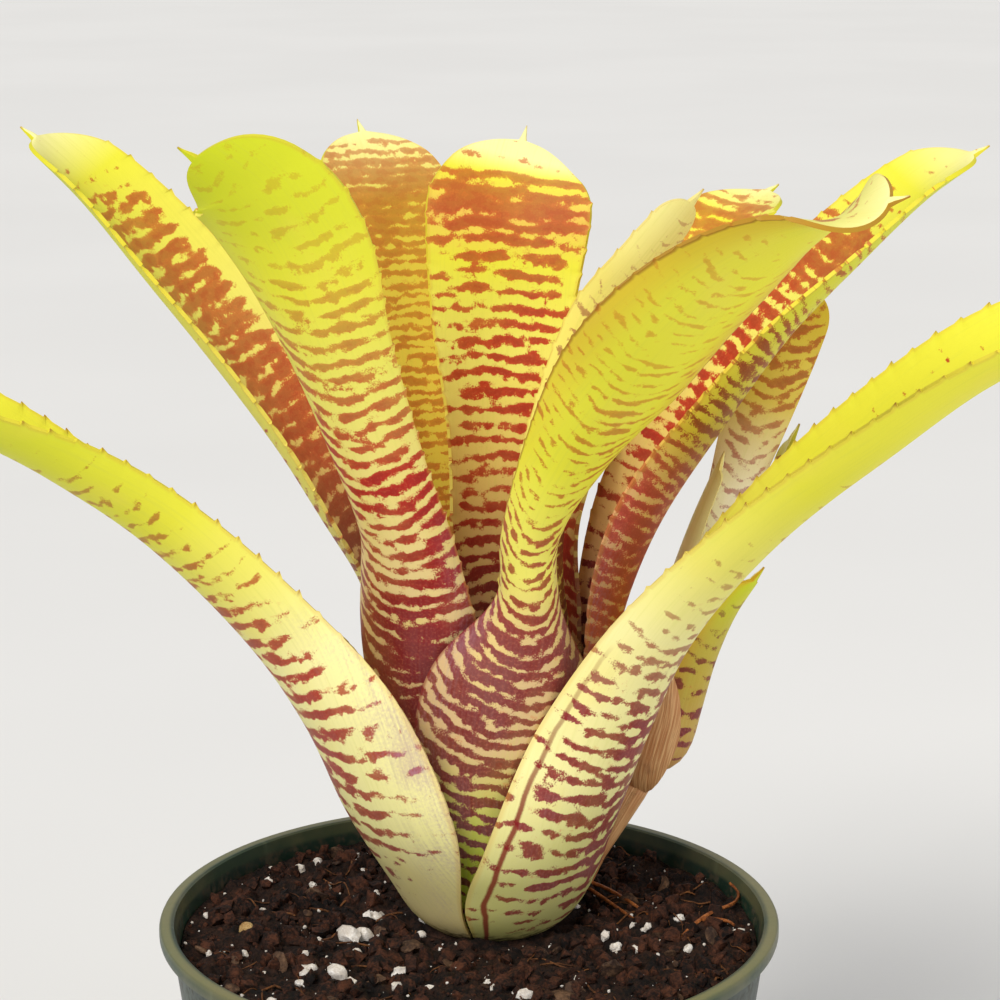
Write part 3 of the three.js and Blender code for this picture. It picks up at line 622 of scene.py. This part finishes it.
def makeBlade(name, leaf, cup, placing, materials, toothScale=0.0, paper=1.0, fray=0.0):
    midrib = Midrib(leaf, cup)
    rows = leafRows(midrib)
    tipStart = midrib.length - midrib.tipLength
    pointEnd = midrib.length + leafBuild["mucroLength"]
    parts = ("sheath", "blade", "margin")
    sheathWall, bladeWall, marginWall = [leafBuild[part + "Thickness"] for part in parts]
    pickNothing()
    bpy.ops.mesh.primitive_grid_add(x_subdivisions=leafBuild["columns"], y_subdivisions=len(rows) - 1, size=2)
    piece = newPiece(name)
    sections = [midrib.section(distance) for distance, _, _ in rows]
    rng = random.Random(name)
    toothSize = [0.7 + 0.5 * rng.random() for _ in range(2 * len(rows))]
    places, edges, teeth, walls = [], [], [], []
    for vertex in piece.data.vertices:
        across = vertex.co.x
        r = round((vertex.co.y + 1) / 2 * (len(rows) - 1))
        distance, given, toothed = rows[r]
        section = sections[r]
        towardsTip = max(0, (distance - tipStart) / midrib.tipLength)
        tapered = section["breadth"] * math.sqrt(max(0, 1 - towardsTip ** 2))
        breadth = given or max(tapered, leafBuild["mucroWidth"])
        angle = section["half"] * across * breadth / section["breadth"]
        point = (section["middle"] + section["across"] * (section["radius"] * math.sin(angle))
                 + section["fold"] * (section["radius"] * (1 - math.cos(angle))))
        isTooth = toothed and abs(across) > 0.999
        if isTooth:
            size = (toothSize[2 * r + (across > 0)] * toothScale
                    * easeBetween(distance / midrib.length, *leafBuild["toothFrom"]))
            away = section["across"] * math.cos(angle) + section["fold"] * math.sin(angle)
            point += away * math.copysign(leafBuild["toothHeight"] * size, across)
            point += section["tangent"] * (leafBuild["toothLean"] * size)
        if fray:
            loose = max(0, distance / midrib.length - 0.55) / 0.45
            tear = noise.noise(Vector((across * 6, 3.3, 0.7)))
            curl = 1 + noise.noise(Vector((across * 3, distance / 4, 5)))
            point += section["tangent"] * (fray * loose * tear)
            point -= section["fold"] * (0.3 * fray * loose * curl)
        vertex.co = placing @ (point * mm)
        places += [across * breadth / 2, distance, min(distance / midrib.length, 1)]
        edges.append(across)
        teeth.append(size if isTooth else 0.7 * easeBetween(distance, midrib.length + 1, pointEnd))
        pastSheath = easeBetween(distance, midrib.sheathEnd, 2.2 * midrib.sheathEnd)
        middleWall = sheathWall + (bladeWall - sheathWall) * pastSheath
        wall = middleWall + (marginWall - middleWall) * abs(across) ** 3
        wall *= 1 - 0.7 * easeBetween(distance, midrib.length, pointEnd)
        walls.append((leafBuild["toothThickness"] if isTooth else wall) * paper)
    keepPlaces(piece, places)
    keepNumbers(piece, "edge", edges)
    keepNumbers(piece, "tooth", teeth)
    group = piece.vertex_groups.new(name="wall")
    for i, wall in enumerate(walls):
        group.add([i], wall / bladeWall, "REPLACE")
    dress(piece, *materials)
    applyModifier(piece, "SOLIDIFY", thickness=bladeWall * mm, offset=-1, use_rim=True, material_offset=1,
                  material_offset_rim=0, vertex_group="wall", thickness_vertex_group=0.0)
    smoothByAngle(piece, 38)
    piece.vertex_groups.clear()
    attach(piece, "root")
    return piece


def makeLeaf(name, leaf, cup, placing):
    look = {**plainLook, **leafLooks.get(name, {})}
    seed = float(sum(ord(letter) for letter in name) % 97)
    skins = [leafSkin(name + "Outer", {**outerSkin, **look["outer"]}, seed),
             leafSkin(name + "Inner", {**innerSkin, **look["inner"]}, seed + 40)]
    piece = makeBlade(name + "Skin", leaf, cup, placing, skins, look["teeth"])
    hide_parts(name)


rosettePlacing = Matrix.Translation((plantAxis["x"] * mm, plantAxis["y"] * mm, 0))
pupAngle = math.radians(pupFrame["azimuth"])


def besidePlant(out, height):
    # a point out from the plant's axis towards the offset
    x, y = around(pupAngle, out)
    return Vector((plantAxis["x"] + x, plantAxis["y"] + y, height))


pupOrigin = besidePlant(pupFrame["out"], pupFrame["up"])
leanAngle = math.radians(pupFrame["leanAzimuth"])
pupTurn = Quaternion((-math.sin(leanAngle), math.cos(leanAngle), 0), math.radians(pupFrame["lean"]))
pupPlacing = Matrix.Translation(pupOrigin * mm) @ pupTurn.to_matrix().to_4x4()

for name, leaf in rosetteLeaves.items():
    makeLeaf(name, leaf, rosetteCup, rosettePlacing)
for name, leaf in pupLeaves.items():
    makeLeaf(name, leaf, pupCup, pupPlacing)
print("leaves made:", len(rosetteLeaves) + len(pupLeaves))


# Pot: one cap grown and scaled up the wall, round the lip and down inside, then drilled

pot = {"height": 90, "rimRadius": 55, "lipWidth": 2.7, "lipHeight": 2.4, "wallTop": 53.2, "wallBottom": 41,
       "wallThickness": 1.1, "floorThickness": 2.2, "floorRadius": 36, "footRounding": 1, "sides": 144,
       "outerRings": (1, 20, 40, 60, 80, 86.5), "innerRings": (86, 60, 40, 20),
       "holes": 6, "holeRadius": 3.5, "holeRing": 30}

# where its colours change: heights of the lip, its lighter top (olive, with a painted highlight) and the dust
# under it, and radii of that top
potTones = {"lip": (87.2, 88.2), "crownOliveAndHighlightRise": (89.0, 89.9), "crownOliveAndHighlightStart": (52.7, 53.5),
            "crownOliveAndHighlightEnd": (54.3, 54.9), "dust": (78, 88)}


def wallRadius(height):
    return pot["wallBottom"] + (pot["wallTop"] - pot["wallBottom"]) * height / pot["height"]


def potFinish():
    plastic = Finish("potPlastic")
    spot = plastic.objectPlace()
    x, y, z = plastic.split(spot)
    height = z * 1000
    speck = plastic.cloud(spot, 900.0, 3.0)
    cloud = plastic.cloud(spot, 60.0, 4.0)
    streak = plastic.cloud(plastic.place(x * 300, y * 300, z * 30), 1.0, 3.0)
    lip = height.ease(*potTones["lip"])
    green = plastic.blend(cloud.ease(0.35, 0.7), paint(16, 36, 27), paint(28, 50, 37))
    reach = (x * x + y * y).root() * 1000
    # the top of the lip is lighter olive: partly the lip's own colour, partly a painted highlight where light
    # falls on it
    crownOliveAndHighlight = (height.ease(*potTones["crownOliveAndHighlightRise"]) * reach.ease(*potTones["crownOliveAndHighlightStart"])
             * (1 - reach.ease(*potTones["crownOliveAndHighlightEnd"]) * 0.5))
    olive = plastic.blend(crownOliveAndHighlight, paint(40, 58, 40), paint(108, 108, 70))
    olive = plastic.blend(cloud.ease(0.35, 0.65) * 0.35, olive, paint(122, 112, 76))
    colour = plastic.blend(lip, green, olive)
    dust = height.ease(*potTones["dust"]) * (1 - lip) * (speck * 0.5 + streak * 0.5).ease(0.45, 0.62) * 0.35
    colour = plastic.blend(dust, colour, paint(96, 74, 52))
    colour = plastic.blend(streak.ease(0.6, 0.8) * 0.2, colour, paint(120, 130, 104))
    return plastic.close(colour, 0.34 + speck * 0.16 + dust * 0.6, speck * 0.4 + cloud * 0.6, 0.12, 0.0002)


def potProfile():
    # radius and height of the rings, up the wall, round the lip and down inside
    top, rim, inner = pot["height"], pot["rimRadius"], pot["rimRadius"] - pot["lipWidth"]
    lipFoot = top - pot["lipHeight"]
    wall = [(wallRadius(height), height) for height in (*pot["outerRings"], lipFoot)]
    lip = [(rim - 0.5, lipFoot), (rim - 0.12, lipFoot + 0.2), (rim, lipFoot + 0.6), (rim, top - 0.6),
           (rim - 0.2, top - 0.18), (rim - 0.6, top), (inner + 0.5, top), (inner + 0.1, top - 0.25)]
    inside = [(wallRadius(height) - pot["wallThickness"], height)
              for height in (*pot["innerRings"], pot["floorThickness"])]
    return wall + lip + inside + [(pot["floorRadius"], pot["floorThickness"])]


def makePot():
    foot = pot["footRounding"]
    radius, height = pot["wallBottom"] - foot, foot
    pickNothing()
    bpy.ops.mesh.primitive_cylinder_add(vertices=pot["sides"], radius=radius * mm, depth=height * mm,
                                        location=(0, 0, height / 2 * mm), end_fill_type="NGON")
    piece = newPiece("potShell")
    bpy.ops.object.transform_apply(location=True, rotation=True, scale=True)
    bpy.ops.object.mode_set(mode="EDIT")
    bpy.ops.mesh.select_all(action="DESELECT")
    bpy.ops.object.mode_set(mode="OBJECT")
    for face in piece.data.polygons:
        face.select = face.normal.z > 0.9
    bpy.ops.object.mode_set(mode="EDIT")
    for ring, (nextRadius, nextHeight) in enumerate(potProfile()):
        if ring:
            rise = (0, 0, (nextHeight - height) * mm)
            bpy.ops.mesh.extrude_region_move(TRANSFORM_OT_translate={"value": rise})
        growth = nextRadius / radius
        bpy.ops.transform.resize(value=(growth, growth, 1), center_override=(0, 0, 0))
        radius, height = nextRadius, nextHeight
    bpy.ops.object.mode_set(mode="OBJECT")
    for i in range(pot["holes"]):
        x, y = around(2 * math.pi * i / pot["holes"], pot["holeRing"])
        pickNothing()
        bpy.ops.mesh.primitive_cylinder_add(vertices=32, radius=pot["holeRadius"] * mm, depth=8 * mm,
                                            location=(x * mm, y * mm, mm))
        drill = bpy.context.object
        applyModifier(piece, "BOOLEAN", operation="DIFFERENCE", solver="EXACT", object=drill)
        bpy.data.objects.remove(drill)
    dress(piece, potFinish())
    smoothByAngle(piece, 32)
    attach(piece, "root")
    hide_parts("pot")


makePot()
print("pot made")


# Potting mix: a crumbly body, with crumbs, perlite, white specks that also paint glints, stones, bark, fibres
# and roots on it

mix = {"depthBelowRim": 3.9, "dip": 1.7, "dipSpread": 24, "bottomLift": 1.6, "seat": 0.35, "grid": 170,
       "clearRadius": 15.4, "clearPerSize": 0.8}

# Its finishes: dark tone, light tone, roughness, how fine the pattern is
mixTones = {
    "mixDark": (paint(8, 5, 4), paint(54, 32, 21), 0.9, 1),
    "mixCrumb": (paint(10, 6, 5), paint(82, 46, 29), 0.9, 1),
    "perliteWhite": (paint(206, 196, 184), paint(250, 246, 240), 0.85, 1.6),
    "stoneTan": (paint(150, 112, 62), paint(214, 186, 130), 0.8, 1.2),
    "barkBrown": (paint(48, 33, 26), paint(112, 84, 62), 0.8, 0.8),
    "fibreBrown": (paint(64, 38, 22), paint(132, 84, 46), 0.7, 1.5),
    "rootOrange": (paint(112, 60, 28), paint(186, 112, 56), 0.6, 1.2),
}

# Its grains. A few shapes of each are made, ruffled, and copied all over. The first ones lie on spots of
# their own, each given as x, y and size; the rest are cast at random.
perliteSpots = [
    (-21.3, -2.1, 3.0), (-18.6, -0.4, 2.2), (-16.5, 11.9, 2.3), (-18.5, 11.4, 1.6), (-27.2, -0.8, 1.7),
    (-27.5, -15.5, 2.2), (-22.4, -19.8, 2.4), (-20.0, -20.4, 1.8), (-12.2, -22.7, 1.7), (29.6, 3.9, 1.2),
    (32.1, 3.9, 1.1), (26.0, -6.7, 1.3), (38.1, 7.2, 1.1), (46.1, 16.8, 0.9), (-8.6, 9.4, 1.2)]
grains = {
    "mixCrumbs": {"finish": "mixCrumb", "shapes": 5, "shapeSeed": 0, "ruffle": 0.55, "detail": 1,
                  "count": 2200, "seed": 21, "sizes": (0.45, 2.9), "flatten": 0.8, "sink": 0.36},
    "mixPerlite": {"finish": "perliteWhite", "shapes": 4, "shapeSeed": 60, "ruffle": 0.4, "detail": 2,
                   "count": 150, "seed": 33, "sizes": (0.4, 1.9), "flatten": 0.8, "sink": 0.4,
                   "spots": perliteSpots},
    # tiny white specks: perlite crumbs that also stand in for painted glints on the wet mix
    "mixSpecks": {"finish": "perliteWhite", "shapes": 3, "shapeSeed": 70, "ruffle": 0.4, "detail": 1,
                  "count": 420, "seed": 57, "sizes": (0.12, 0.45), "flatten": 0.8, "sink": 0.3},
    "mixStones": {"finish": "stoneTan", "shapes": 1, "shapeSeed": 90, "ruffle": 0.12, "detail": 2,
                  "count": 3, "seed": 61, "sizes": (0.8, 1.6), "flatten": 0.7, "sink": 0.45,
                  "spots": [(-39.9, 1.1, 2.5)]},
    "mixBark": {"finish": "barkBrown", "shapes": 4, "shapeSeed": 80, "ruffle": 0.35, "detail": 2,
                "count": 60, "seed": 45, "sizes": (1.2, 3.4), "flatten": 0.28, "sink": 0.42,
                "spots": [(24.8, -17.6, 4.2)]},
}
fullTurn = 6.28  # a random turn, in radians
soilLevel = pot["height"] - mix["depthBelowRim"]
soilRadius = wallRadius(soilLevel) - pot["wallThickness"] - mix["seat"]


def fromPlant(x, y):
    return math.hypot(x - plantAxis["x"], y - plantAxis["y"])


def soilHeight(x, y):
    ripple = 0.45 * math.sin(0.31 * x + 0.9) * math.cos(0.27 * y) + 0.3 * math.sin(0.55 * x - 0.47 * y)
    return soilLevel + ripple - mix["dip"] * math.exp(-((fromPlant(x, y) / mix["dipSpread"]) ** 2)) - 0.5


def crumbled(x, y):
    rough = noise.noise(Vector((x / 5, y / 5, 2))) * 1.3 + noise.noise(Vector((x / 2.1, y / 2.1, 5))) * 1.3
    return soilHeight(x, y) + rough + noise.noise(Vector((x / 1.1, y / 1.1, 9))) * 0.7


def mixFinish(name):
    dark, light, rough, scale = mixTones[name]
    ground = Finish(name)
    spot = ground.objectPlace()
    lumps = ground.cloud(spot, 260.0 * scale, 5.0, 0.65)
    grain = ground.cloud(spot, 1500.0 * scale, 4.0, 0.7)
    patches = ground.cloud(spot, 60.0 * scale, 3.0)
    colour = ground.blend((lumps * 0.6 + grain * 0.5).ease(0.45, 0.72), dark, light)
    colour = ground.blend(patches.ease(0.5, 0.7) * 0.3, colour, ground.blend(0.5, dark, light))
    relief = lumps * 0.6 + grain * 0.5
    return ground.close(colour, rough - grain * 0.25, relief, 0.9, 0.0009, Specular_IOR_Level=0.2)


def makeSoil():
    pickNothing()
    bpy.ops.mesh.primitive_grid_add(x_subdivisions=mix["grid"], y_subdivisions=mix["grid"], size=2)
    piece = newPiece("mixBody")
    for vertex in piece.data.vertices:
        x, y = vertex.co.x, vertex.co.y
        x, y = x * math.sqrt(1 - y * y / 2) * soilRadius, y * math.sqrt(1 - x * x / 2) * soilRadius
        nearWall = easeBetween(math.hypot(x, y), soilRadius - 0.5, soilRadius)
        vertex.co = Vector((x, y, crumbled(x, y) * (1 - nearWall) + soilHeight(x, y) * nearWall)) * mm
    bpy.ops.object.mode_set(mode="EDIT")
    bpy.ops.mesh.select_all(action="SELECT")
    bpy.ops.mesh.region_to_loop()
    bottom = pot["floorThickness"] + mix["bottomLift"]
    foot = (wallRadius(bottom) - pot["wallThickness"] - mix["seat"]) / soilRadius
    bpy.ops.mesh.extrude_edges_move(TRANSFORM_OT_translate={"value": (0, 0, (bottom - soilLevel) * mm)})
    bpy.ops.transform.resize(value=(foot, foot, 0.0), center_override=(0, 0, bottom * mm))
    bpy.ops.mesh.edge_face_add()
    bpy.ops.mesh.select_all(action="SELECT")
    bpy.ops.mesh.normals_make_consistent(inside=False)
    bpy.ops.object.mode_set(mode="OBJECT")
    dress(piece, mixFinishes["mixDark"])
    smoothByAngle(piece, 60)
    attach(piece, "root")
    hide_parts("soil")


def clearOfPlant(x, y, size):
    return fromPlant(x, y) > mix["clearRadius"] + mix["clearPerSize"] * size


def makeShape(seed, grain):
    rng = random.Random(seed)
    pickNothing()
    bpy.ops.mesh.primitive_ico_sphere_add(subdivisions=grain["detail"], radius=1)
    piece = newPiece("grainShape")
    for vertex in piece.data.vertices:
        vertex.co *= 1 - grain["ruffle"] * rng.random()
    return piece


def scatter(name, grain):
    shapes = [makeShape(grain["shapeSeed"] + k, grain) for k in range(grain["shapes"])]
    rng = random.Random(grain["seed"])
    smallest, largest = grain["sizes"]
    spots = grain.get("spots", [])
    pieces = []
    while len(pieces) < grain["count"]:
        angle = 2 * math.pi * rng.random()
        reach = soilRadius * math.sqrt(rng.random())
        x, y = around(angle, reach)
        size = smallest + (largest - smallest) * rng.random() ** 3
        if len(pieces) < len(spots):
            x, y, size = spots[len(pieces)]
        elif reach + size > soilRadius or not clearOfPlant(x, y, size):
            continue
        axis = Vector((rng.random() - 0.5, rng.random() - 0.5, rng.random() - 0.5)).normalized()
        turn = Quaternion(axis, fullTurn * rng.random()).to_matrix().to_4x4()
        width = size * (0.6 + 0.4 * rng.random())
        shaped = Matrix.Diagonal((size * mm, width * mm, size * grain["flatten"] * mm, 1))
        lift = Vector((x, y, crumbled(x, y) + size * (0.5 - grain["sink"]))) * mm
        pieces.append(copyWithMesh(rng.choice(shapes), Matrix.Translation(lift) @ turn @ shaped))
    piece = joinAll(pieces, name)
    for shape in shapes:
        bpy.data.objects.remove(shape)
    dress(piece, mixFinishes[grain["finish"]])
    smoothByAngle(piece, 45)
    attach(piece, "root")


mixFinishes = {name: mixFinish(name) for name in mixTones}
makeSoil()
for name, grain in grains.items():
    scatter(name, grain)
print("potting mix made")


# Roots and fibres lie on the mix. A root's route gives x, y and how far it stands off the crumbs.

threads = {"fibres": 110, "fibreSeed": 5, "fibreLength": 3, "fibreSpread": 8, "fibreLift": 0.5,
           "fibreRadius": 0.1, "radiusSpread": 0.14, "rootRadius": 0.42, "rootLift": 0.3}
rootRoutes = [
    [(20.4, 24.3, 0.4), (24, 21, 1.0), (27.6, 16.8, 0.8), (31, 11, 0.5), (34.4, 5.5, 0.0)],
    [(22, 20, 0.2), (23.8, 17.4, 0.7), (25.5, 15, 0.9), (28, 12, 0.4), (29.5, 8, 0.1)],
    [(37.5, -1.5, 0.1), (40, 2, 0.9), (44.5, 7.2, 1.1), (48, 9, 0.8), (49.6, 14, 1.2), (49.5, 17, 1.9),
     (48, 19, 2.6)],
    [(42, 3, 0.4), (44, 4.2, 0.8), (46, 4.5, 1.1), (47, 3.6, 0.9), (47.5, 2.5, 0.5)],
]


def makeThread(name, points, radius):
    bpy.ops.curve.primitive_nurbs_path_add(radius=mm)
    piece = bpy.context.object
    spline = piece.data.splines[0]
    spline.points.add(len(points) - len(spline.points))
    for k, (spot, point) in enumerate(zip(spline.points, points)):
        spot.co = (*(Vector(point) * mm), 1)
        spot.radius = 1 - 0.5 * k / len(points)
    piece.data.bevel_depth = radius * mm
    piece.data.bevel_resolution = 1
    piece.data.resolution_u = 3
    piece.data.use_fill_caps = True
    pickOnly(piece)
    bpy.ops.object.convert(target="MESH")
    return newPiece(name)


def threadRoute(rng, x, y, length):
    heading = fullTurn * rng.random()
    points = []
    for k in range(7):
        rise = threads["fibreLift"] * (0.4 + 0.6 * math.sin(k * 0.9))
        points.append((x, y, crumbled(x, y) + rise + 0.15))
        heading += rng.uniform(-0.5, 0.5)
        stepX, stepY = around(heading, length / 6)
        x += stepX
        y += stepY
        if math.hypot(x, y) > soilRadius - 1:
            break
    return points


def makeRoots():
    rng = random.Random(threads["fibreSeed"])
    fibres = []
    while len(fibres) < threads["fibres"]:
        angle, reach = fullTurn * rng.random(), soilRadius * math.sqrt(rng.random()) * 0.97
        x, y = around(angle, reach)
        points = threadRoute(rng, x, y, threads["fibreLength"] + threads["fibreSpread"] * rng.random())
        if len(points) > 4 and all(clearOfPlant(px, py, 0) for px, py, _ in points):
            radius = threads["fibreRadius"] + threads["radiusSpread"] * rng.random()
            fibres.append(makeThread("fibre", points, radius))
    roots = []
    for route in rootRoutes:
        points = [(x, y, crumbled(x, y) + lift + threads["rootLift"]) for x, y, lift in route]
        roots.append(makeThread("root", points, threads["rootRadius"]))
    for name, pieces, finish in (("mixFibres", fibres, "fibreBrown"), ("mixRoots", roots, "rootOrange")):
        piece = joinAll(pieces, name)
        dress(piece, mixFinishes[finish])
        smoothByAngle(piece, 60)
        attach(piece, "root")


makeRoots()
print("roots and fibres made")


# Stolon of the offset in its dry papery bracts. Its route gives the way out from the plant's axis, up, and
# the radius.

stolon = {"route": [(17.5, 79, 1.9), (19, 86, 2.0), (22.5, 92, 2.1), (26.5, 98, 2.9), (30, 103, 3.4)],
          "sides": 24, "redderBelow": (86, 100)}


def bractFinish():
    paper = Finish("bractPaper")
    across, along, _ = paper.split(paper.attribute("leafPlace", "Vector"))
    veins = paper.cloud(paper.place(across / 0.35, along / 9, 3.0), 1.0, 3.0)
    cloud = paper.cloud(paper.place(across / 4, along / 6, 8.0), 1.0, 3.0)
    colour = paper.blend(veins.ease(0.35, 0.7), paint(188, 128, 74), paint(226, 180, 122))
    colour = paper.blend(cloud.ease(0.56, 0.76) * 0.6, colour, paint(124, 74, 44))
    low = 1 - paper.heightAboveFloor().ease(*stolon["redderBelow"])
    colour = paper.blend(low * 0.6, colour, paint(168, 88, 46))
    return paper.close(colour, 0.7 - veins * 0.2, veins * 0.8 + cloud * 0.4, 0.6, 0.0004)


def stolonStations():
    stations = []
    for out, height, radius in stolon["route"]:
        stations.append((besidePlant(out, height), radius))
    axisUp = pupTurn @ up
    core = pupCup["stemRadius"] - mix["seat"]
    stations.append((pupOrigin - axisUp * 1.2, 3.2))
    stations.append((pupOrigin - axisUp * 0.6, core))
    stations.append((pupOrigin + axisUp * pupCup["top"], core * 0.7))
    return stations


def makeStolon():
    stations = stolonStations()
    sides = stolon["sides"]
    pickNothing()
    bpy.ops.mesh.primitive_cylinder_add(vertices=sides, radius=1, depth=2, end_fill_type="NGON")
    piece = newPiece("stolonBark")
    piece.data.polygons.foreach_set("select", [face.normal.z > 0.9 for face in piece.data.polygons])
    bpy.ops.object.mode_set(mode="EDIT")
    for _ in range(len(stations) - 2):
        bpy.ops.mesh.extrude_region_move(TRANSFORM_OT_translate={"value": (0, 0, 2)})
    bpy.ops.object.mode_set(mode="OBJECT")
    rings = []
    for i, (centre, radius) in enumerate(stations):
        before, after = stations[max(i - 1, 0)][0], stations[min(i + 1, len(stations) - 1)][0]
        along = (after - before).normalized()
        across = (Vector((0, 1, 0)) - along * along.y).normalized()
        rings.append((centre, radius, across, along.cross(across)))
    places = []
    for vertex in piece.data.vertices:
        centre, radius, across, third = rings[round((vertex.co.z + 1) / 2)]
        angle = math.atan2(vertex.co.y, vertex.co.x)
        places += [angle * 3, centre.z, 0.5]
        vertex.co = (centre + across * (radius * math.cos(angle)) + third * (radius * math.sin(angle))) * mm
    keepPlaces(piece, places)
    dress(piece, bractFinish())
    smoothByAngle(piece, 50)
    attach(piece, "root")
    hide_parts("stolon")


# a dry sheath that has split and frayed, wrapped round the foot of the offset
bractCup = {"stemRadius": 1.6, "reach": 6.6, "depth": 13, "top": 8.5, "pitch": 0}
bractSheath = leafOf(-116, 0, 56, [(8.5, 13, 14, 54), (8.9, 19, 10, 50, 0, -1), (9.4, 25, 6, 40, 0, -2)])


def makeBract():
    finishes = [bractFinish(), bractFinish()]
    piece = makeBlade("stolonBract", bractSheath, bractCup, pupPlacing, finishes, paper=0.45, fray=4.0)


makeStolon()
makeBract()
print("stolon made")


# The stem keeps its solid and gets a woody skin

def stemFinish():
    wood = Finish("stemWood")
    spot = wood.objectPlace()
    rings = (wood.split(spot)[2] * 420 + wood.cloud(spot, 120.0, 2.0)).wave()
    grain = wood.cloud(spot, 700.0, 4.0)
    colour = wood.blend(rings.ease(-0.3, 0.8) * 0.6 + grain * 0.4, paint(104, 82, 50), paint(172, 152, 98))
    return wood.close(colour, 0.8 - grain * 0.1, rings * 0.5 + grain * 0.5, 0.5, 0.0004)


dress(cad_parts["stem"], stemFinish())


# Floor, lights and camera

studio = {"floorSize": 60, "lens": 101.7, "place": (0.00547, -0.4723, 0.2809), "pitch": 13.72, "world": 0.5,
          "airColour": (0.95, 0.96, 1.0, 1.0)}

# a lamp shines from one place at another
lamps = {"softKey": {"kind": "SUN", "from": (-0.5, -0.85, 0.95), "at": (0, 0, 0),
                     "light": {"energy": 2.6, "color": (1.0, 0.98, 0.94), "angle": math.radians(28)}},
         "fillLight": {"kind": "AREA", "from": (0.7, -0.6, 0.4), "at": (0, 0, 0.15),
                       "light": {"energy": 2.4, "color": (1.0, 0.98, 0.96), "size": 0.5}}}


def floorFinish():
    card = Finish("floorCard")
    spot = card.objectPlace()
    mottle = card.cloud(spot, 3.0, 3.0)
    colour = card.blend(mottle.ease(0.3, 0.7), paint(225, 224, 221), paint(228, 227, 224))
    return card.close(colour, 0.8)


def makeStage():
    pickNothing()
    bpy.ops.mesh.primitive_plane_add(size=studio["floorSize"], location=(0, 0, 0))
    floor = newPiece("studioFloor")
    dress(floor, floorFinish())


def makeLamp(name, settings):
    light = bpy.data.lights.new(name, settings["kind"])
    for setting, value in settings["light"].items():
        setattr(light, setting, value)
    lamp = bpy.data.objects.new(name, light)
    lamp.location = settings["from"]
    aim = Vector(settings["at"]) - Vector(settings["from"])
    lamp.rotation_euler = aim.to_track_quat("-Z", "Y").to_euler()
    bpy.context.scene.collection.objects.link(lamp)


def makeStudio():
    makeStage()
    for name, settings in lamps.items():
        makeLamp(name, settings)
    world = bpy.data.worlds.new("studioAir")
    bpy.context.scene.world = world
    world.use_nodes = True
    air = world.node_tree.nodes["Background"].inputs
    air["Color"].default_value = studio["airColour"]
    air["Strength"].default_value = studio["world"]
    lens = bpy.data.cameras.new("studioCamera")
    lens.lens = studio["lens"]
    lens.sensor_width = 36
    lens.clip_start = 0.01
    camera = bpy.data.objects.new("studioCamera", lens)
    camera.location = studio["place"]
    camera.rotation_euler = (math.radians(90 - studio["pitch"]), 0, 0)
    bpy.context.scene.collection.objects.link(camera)
    bpy.context.scene.camera = camera
    bpy.context.scene.view_settings.view_transform = "Standard"


makeStudio()
print("studio made")
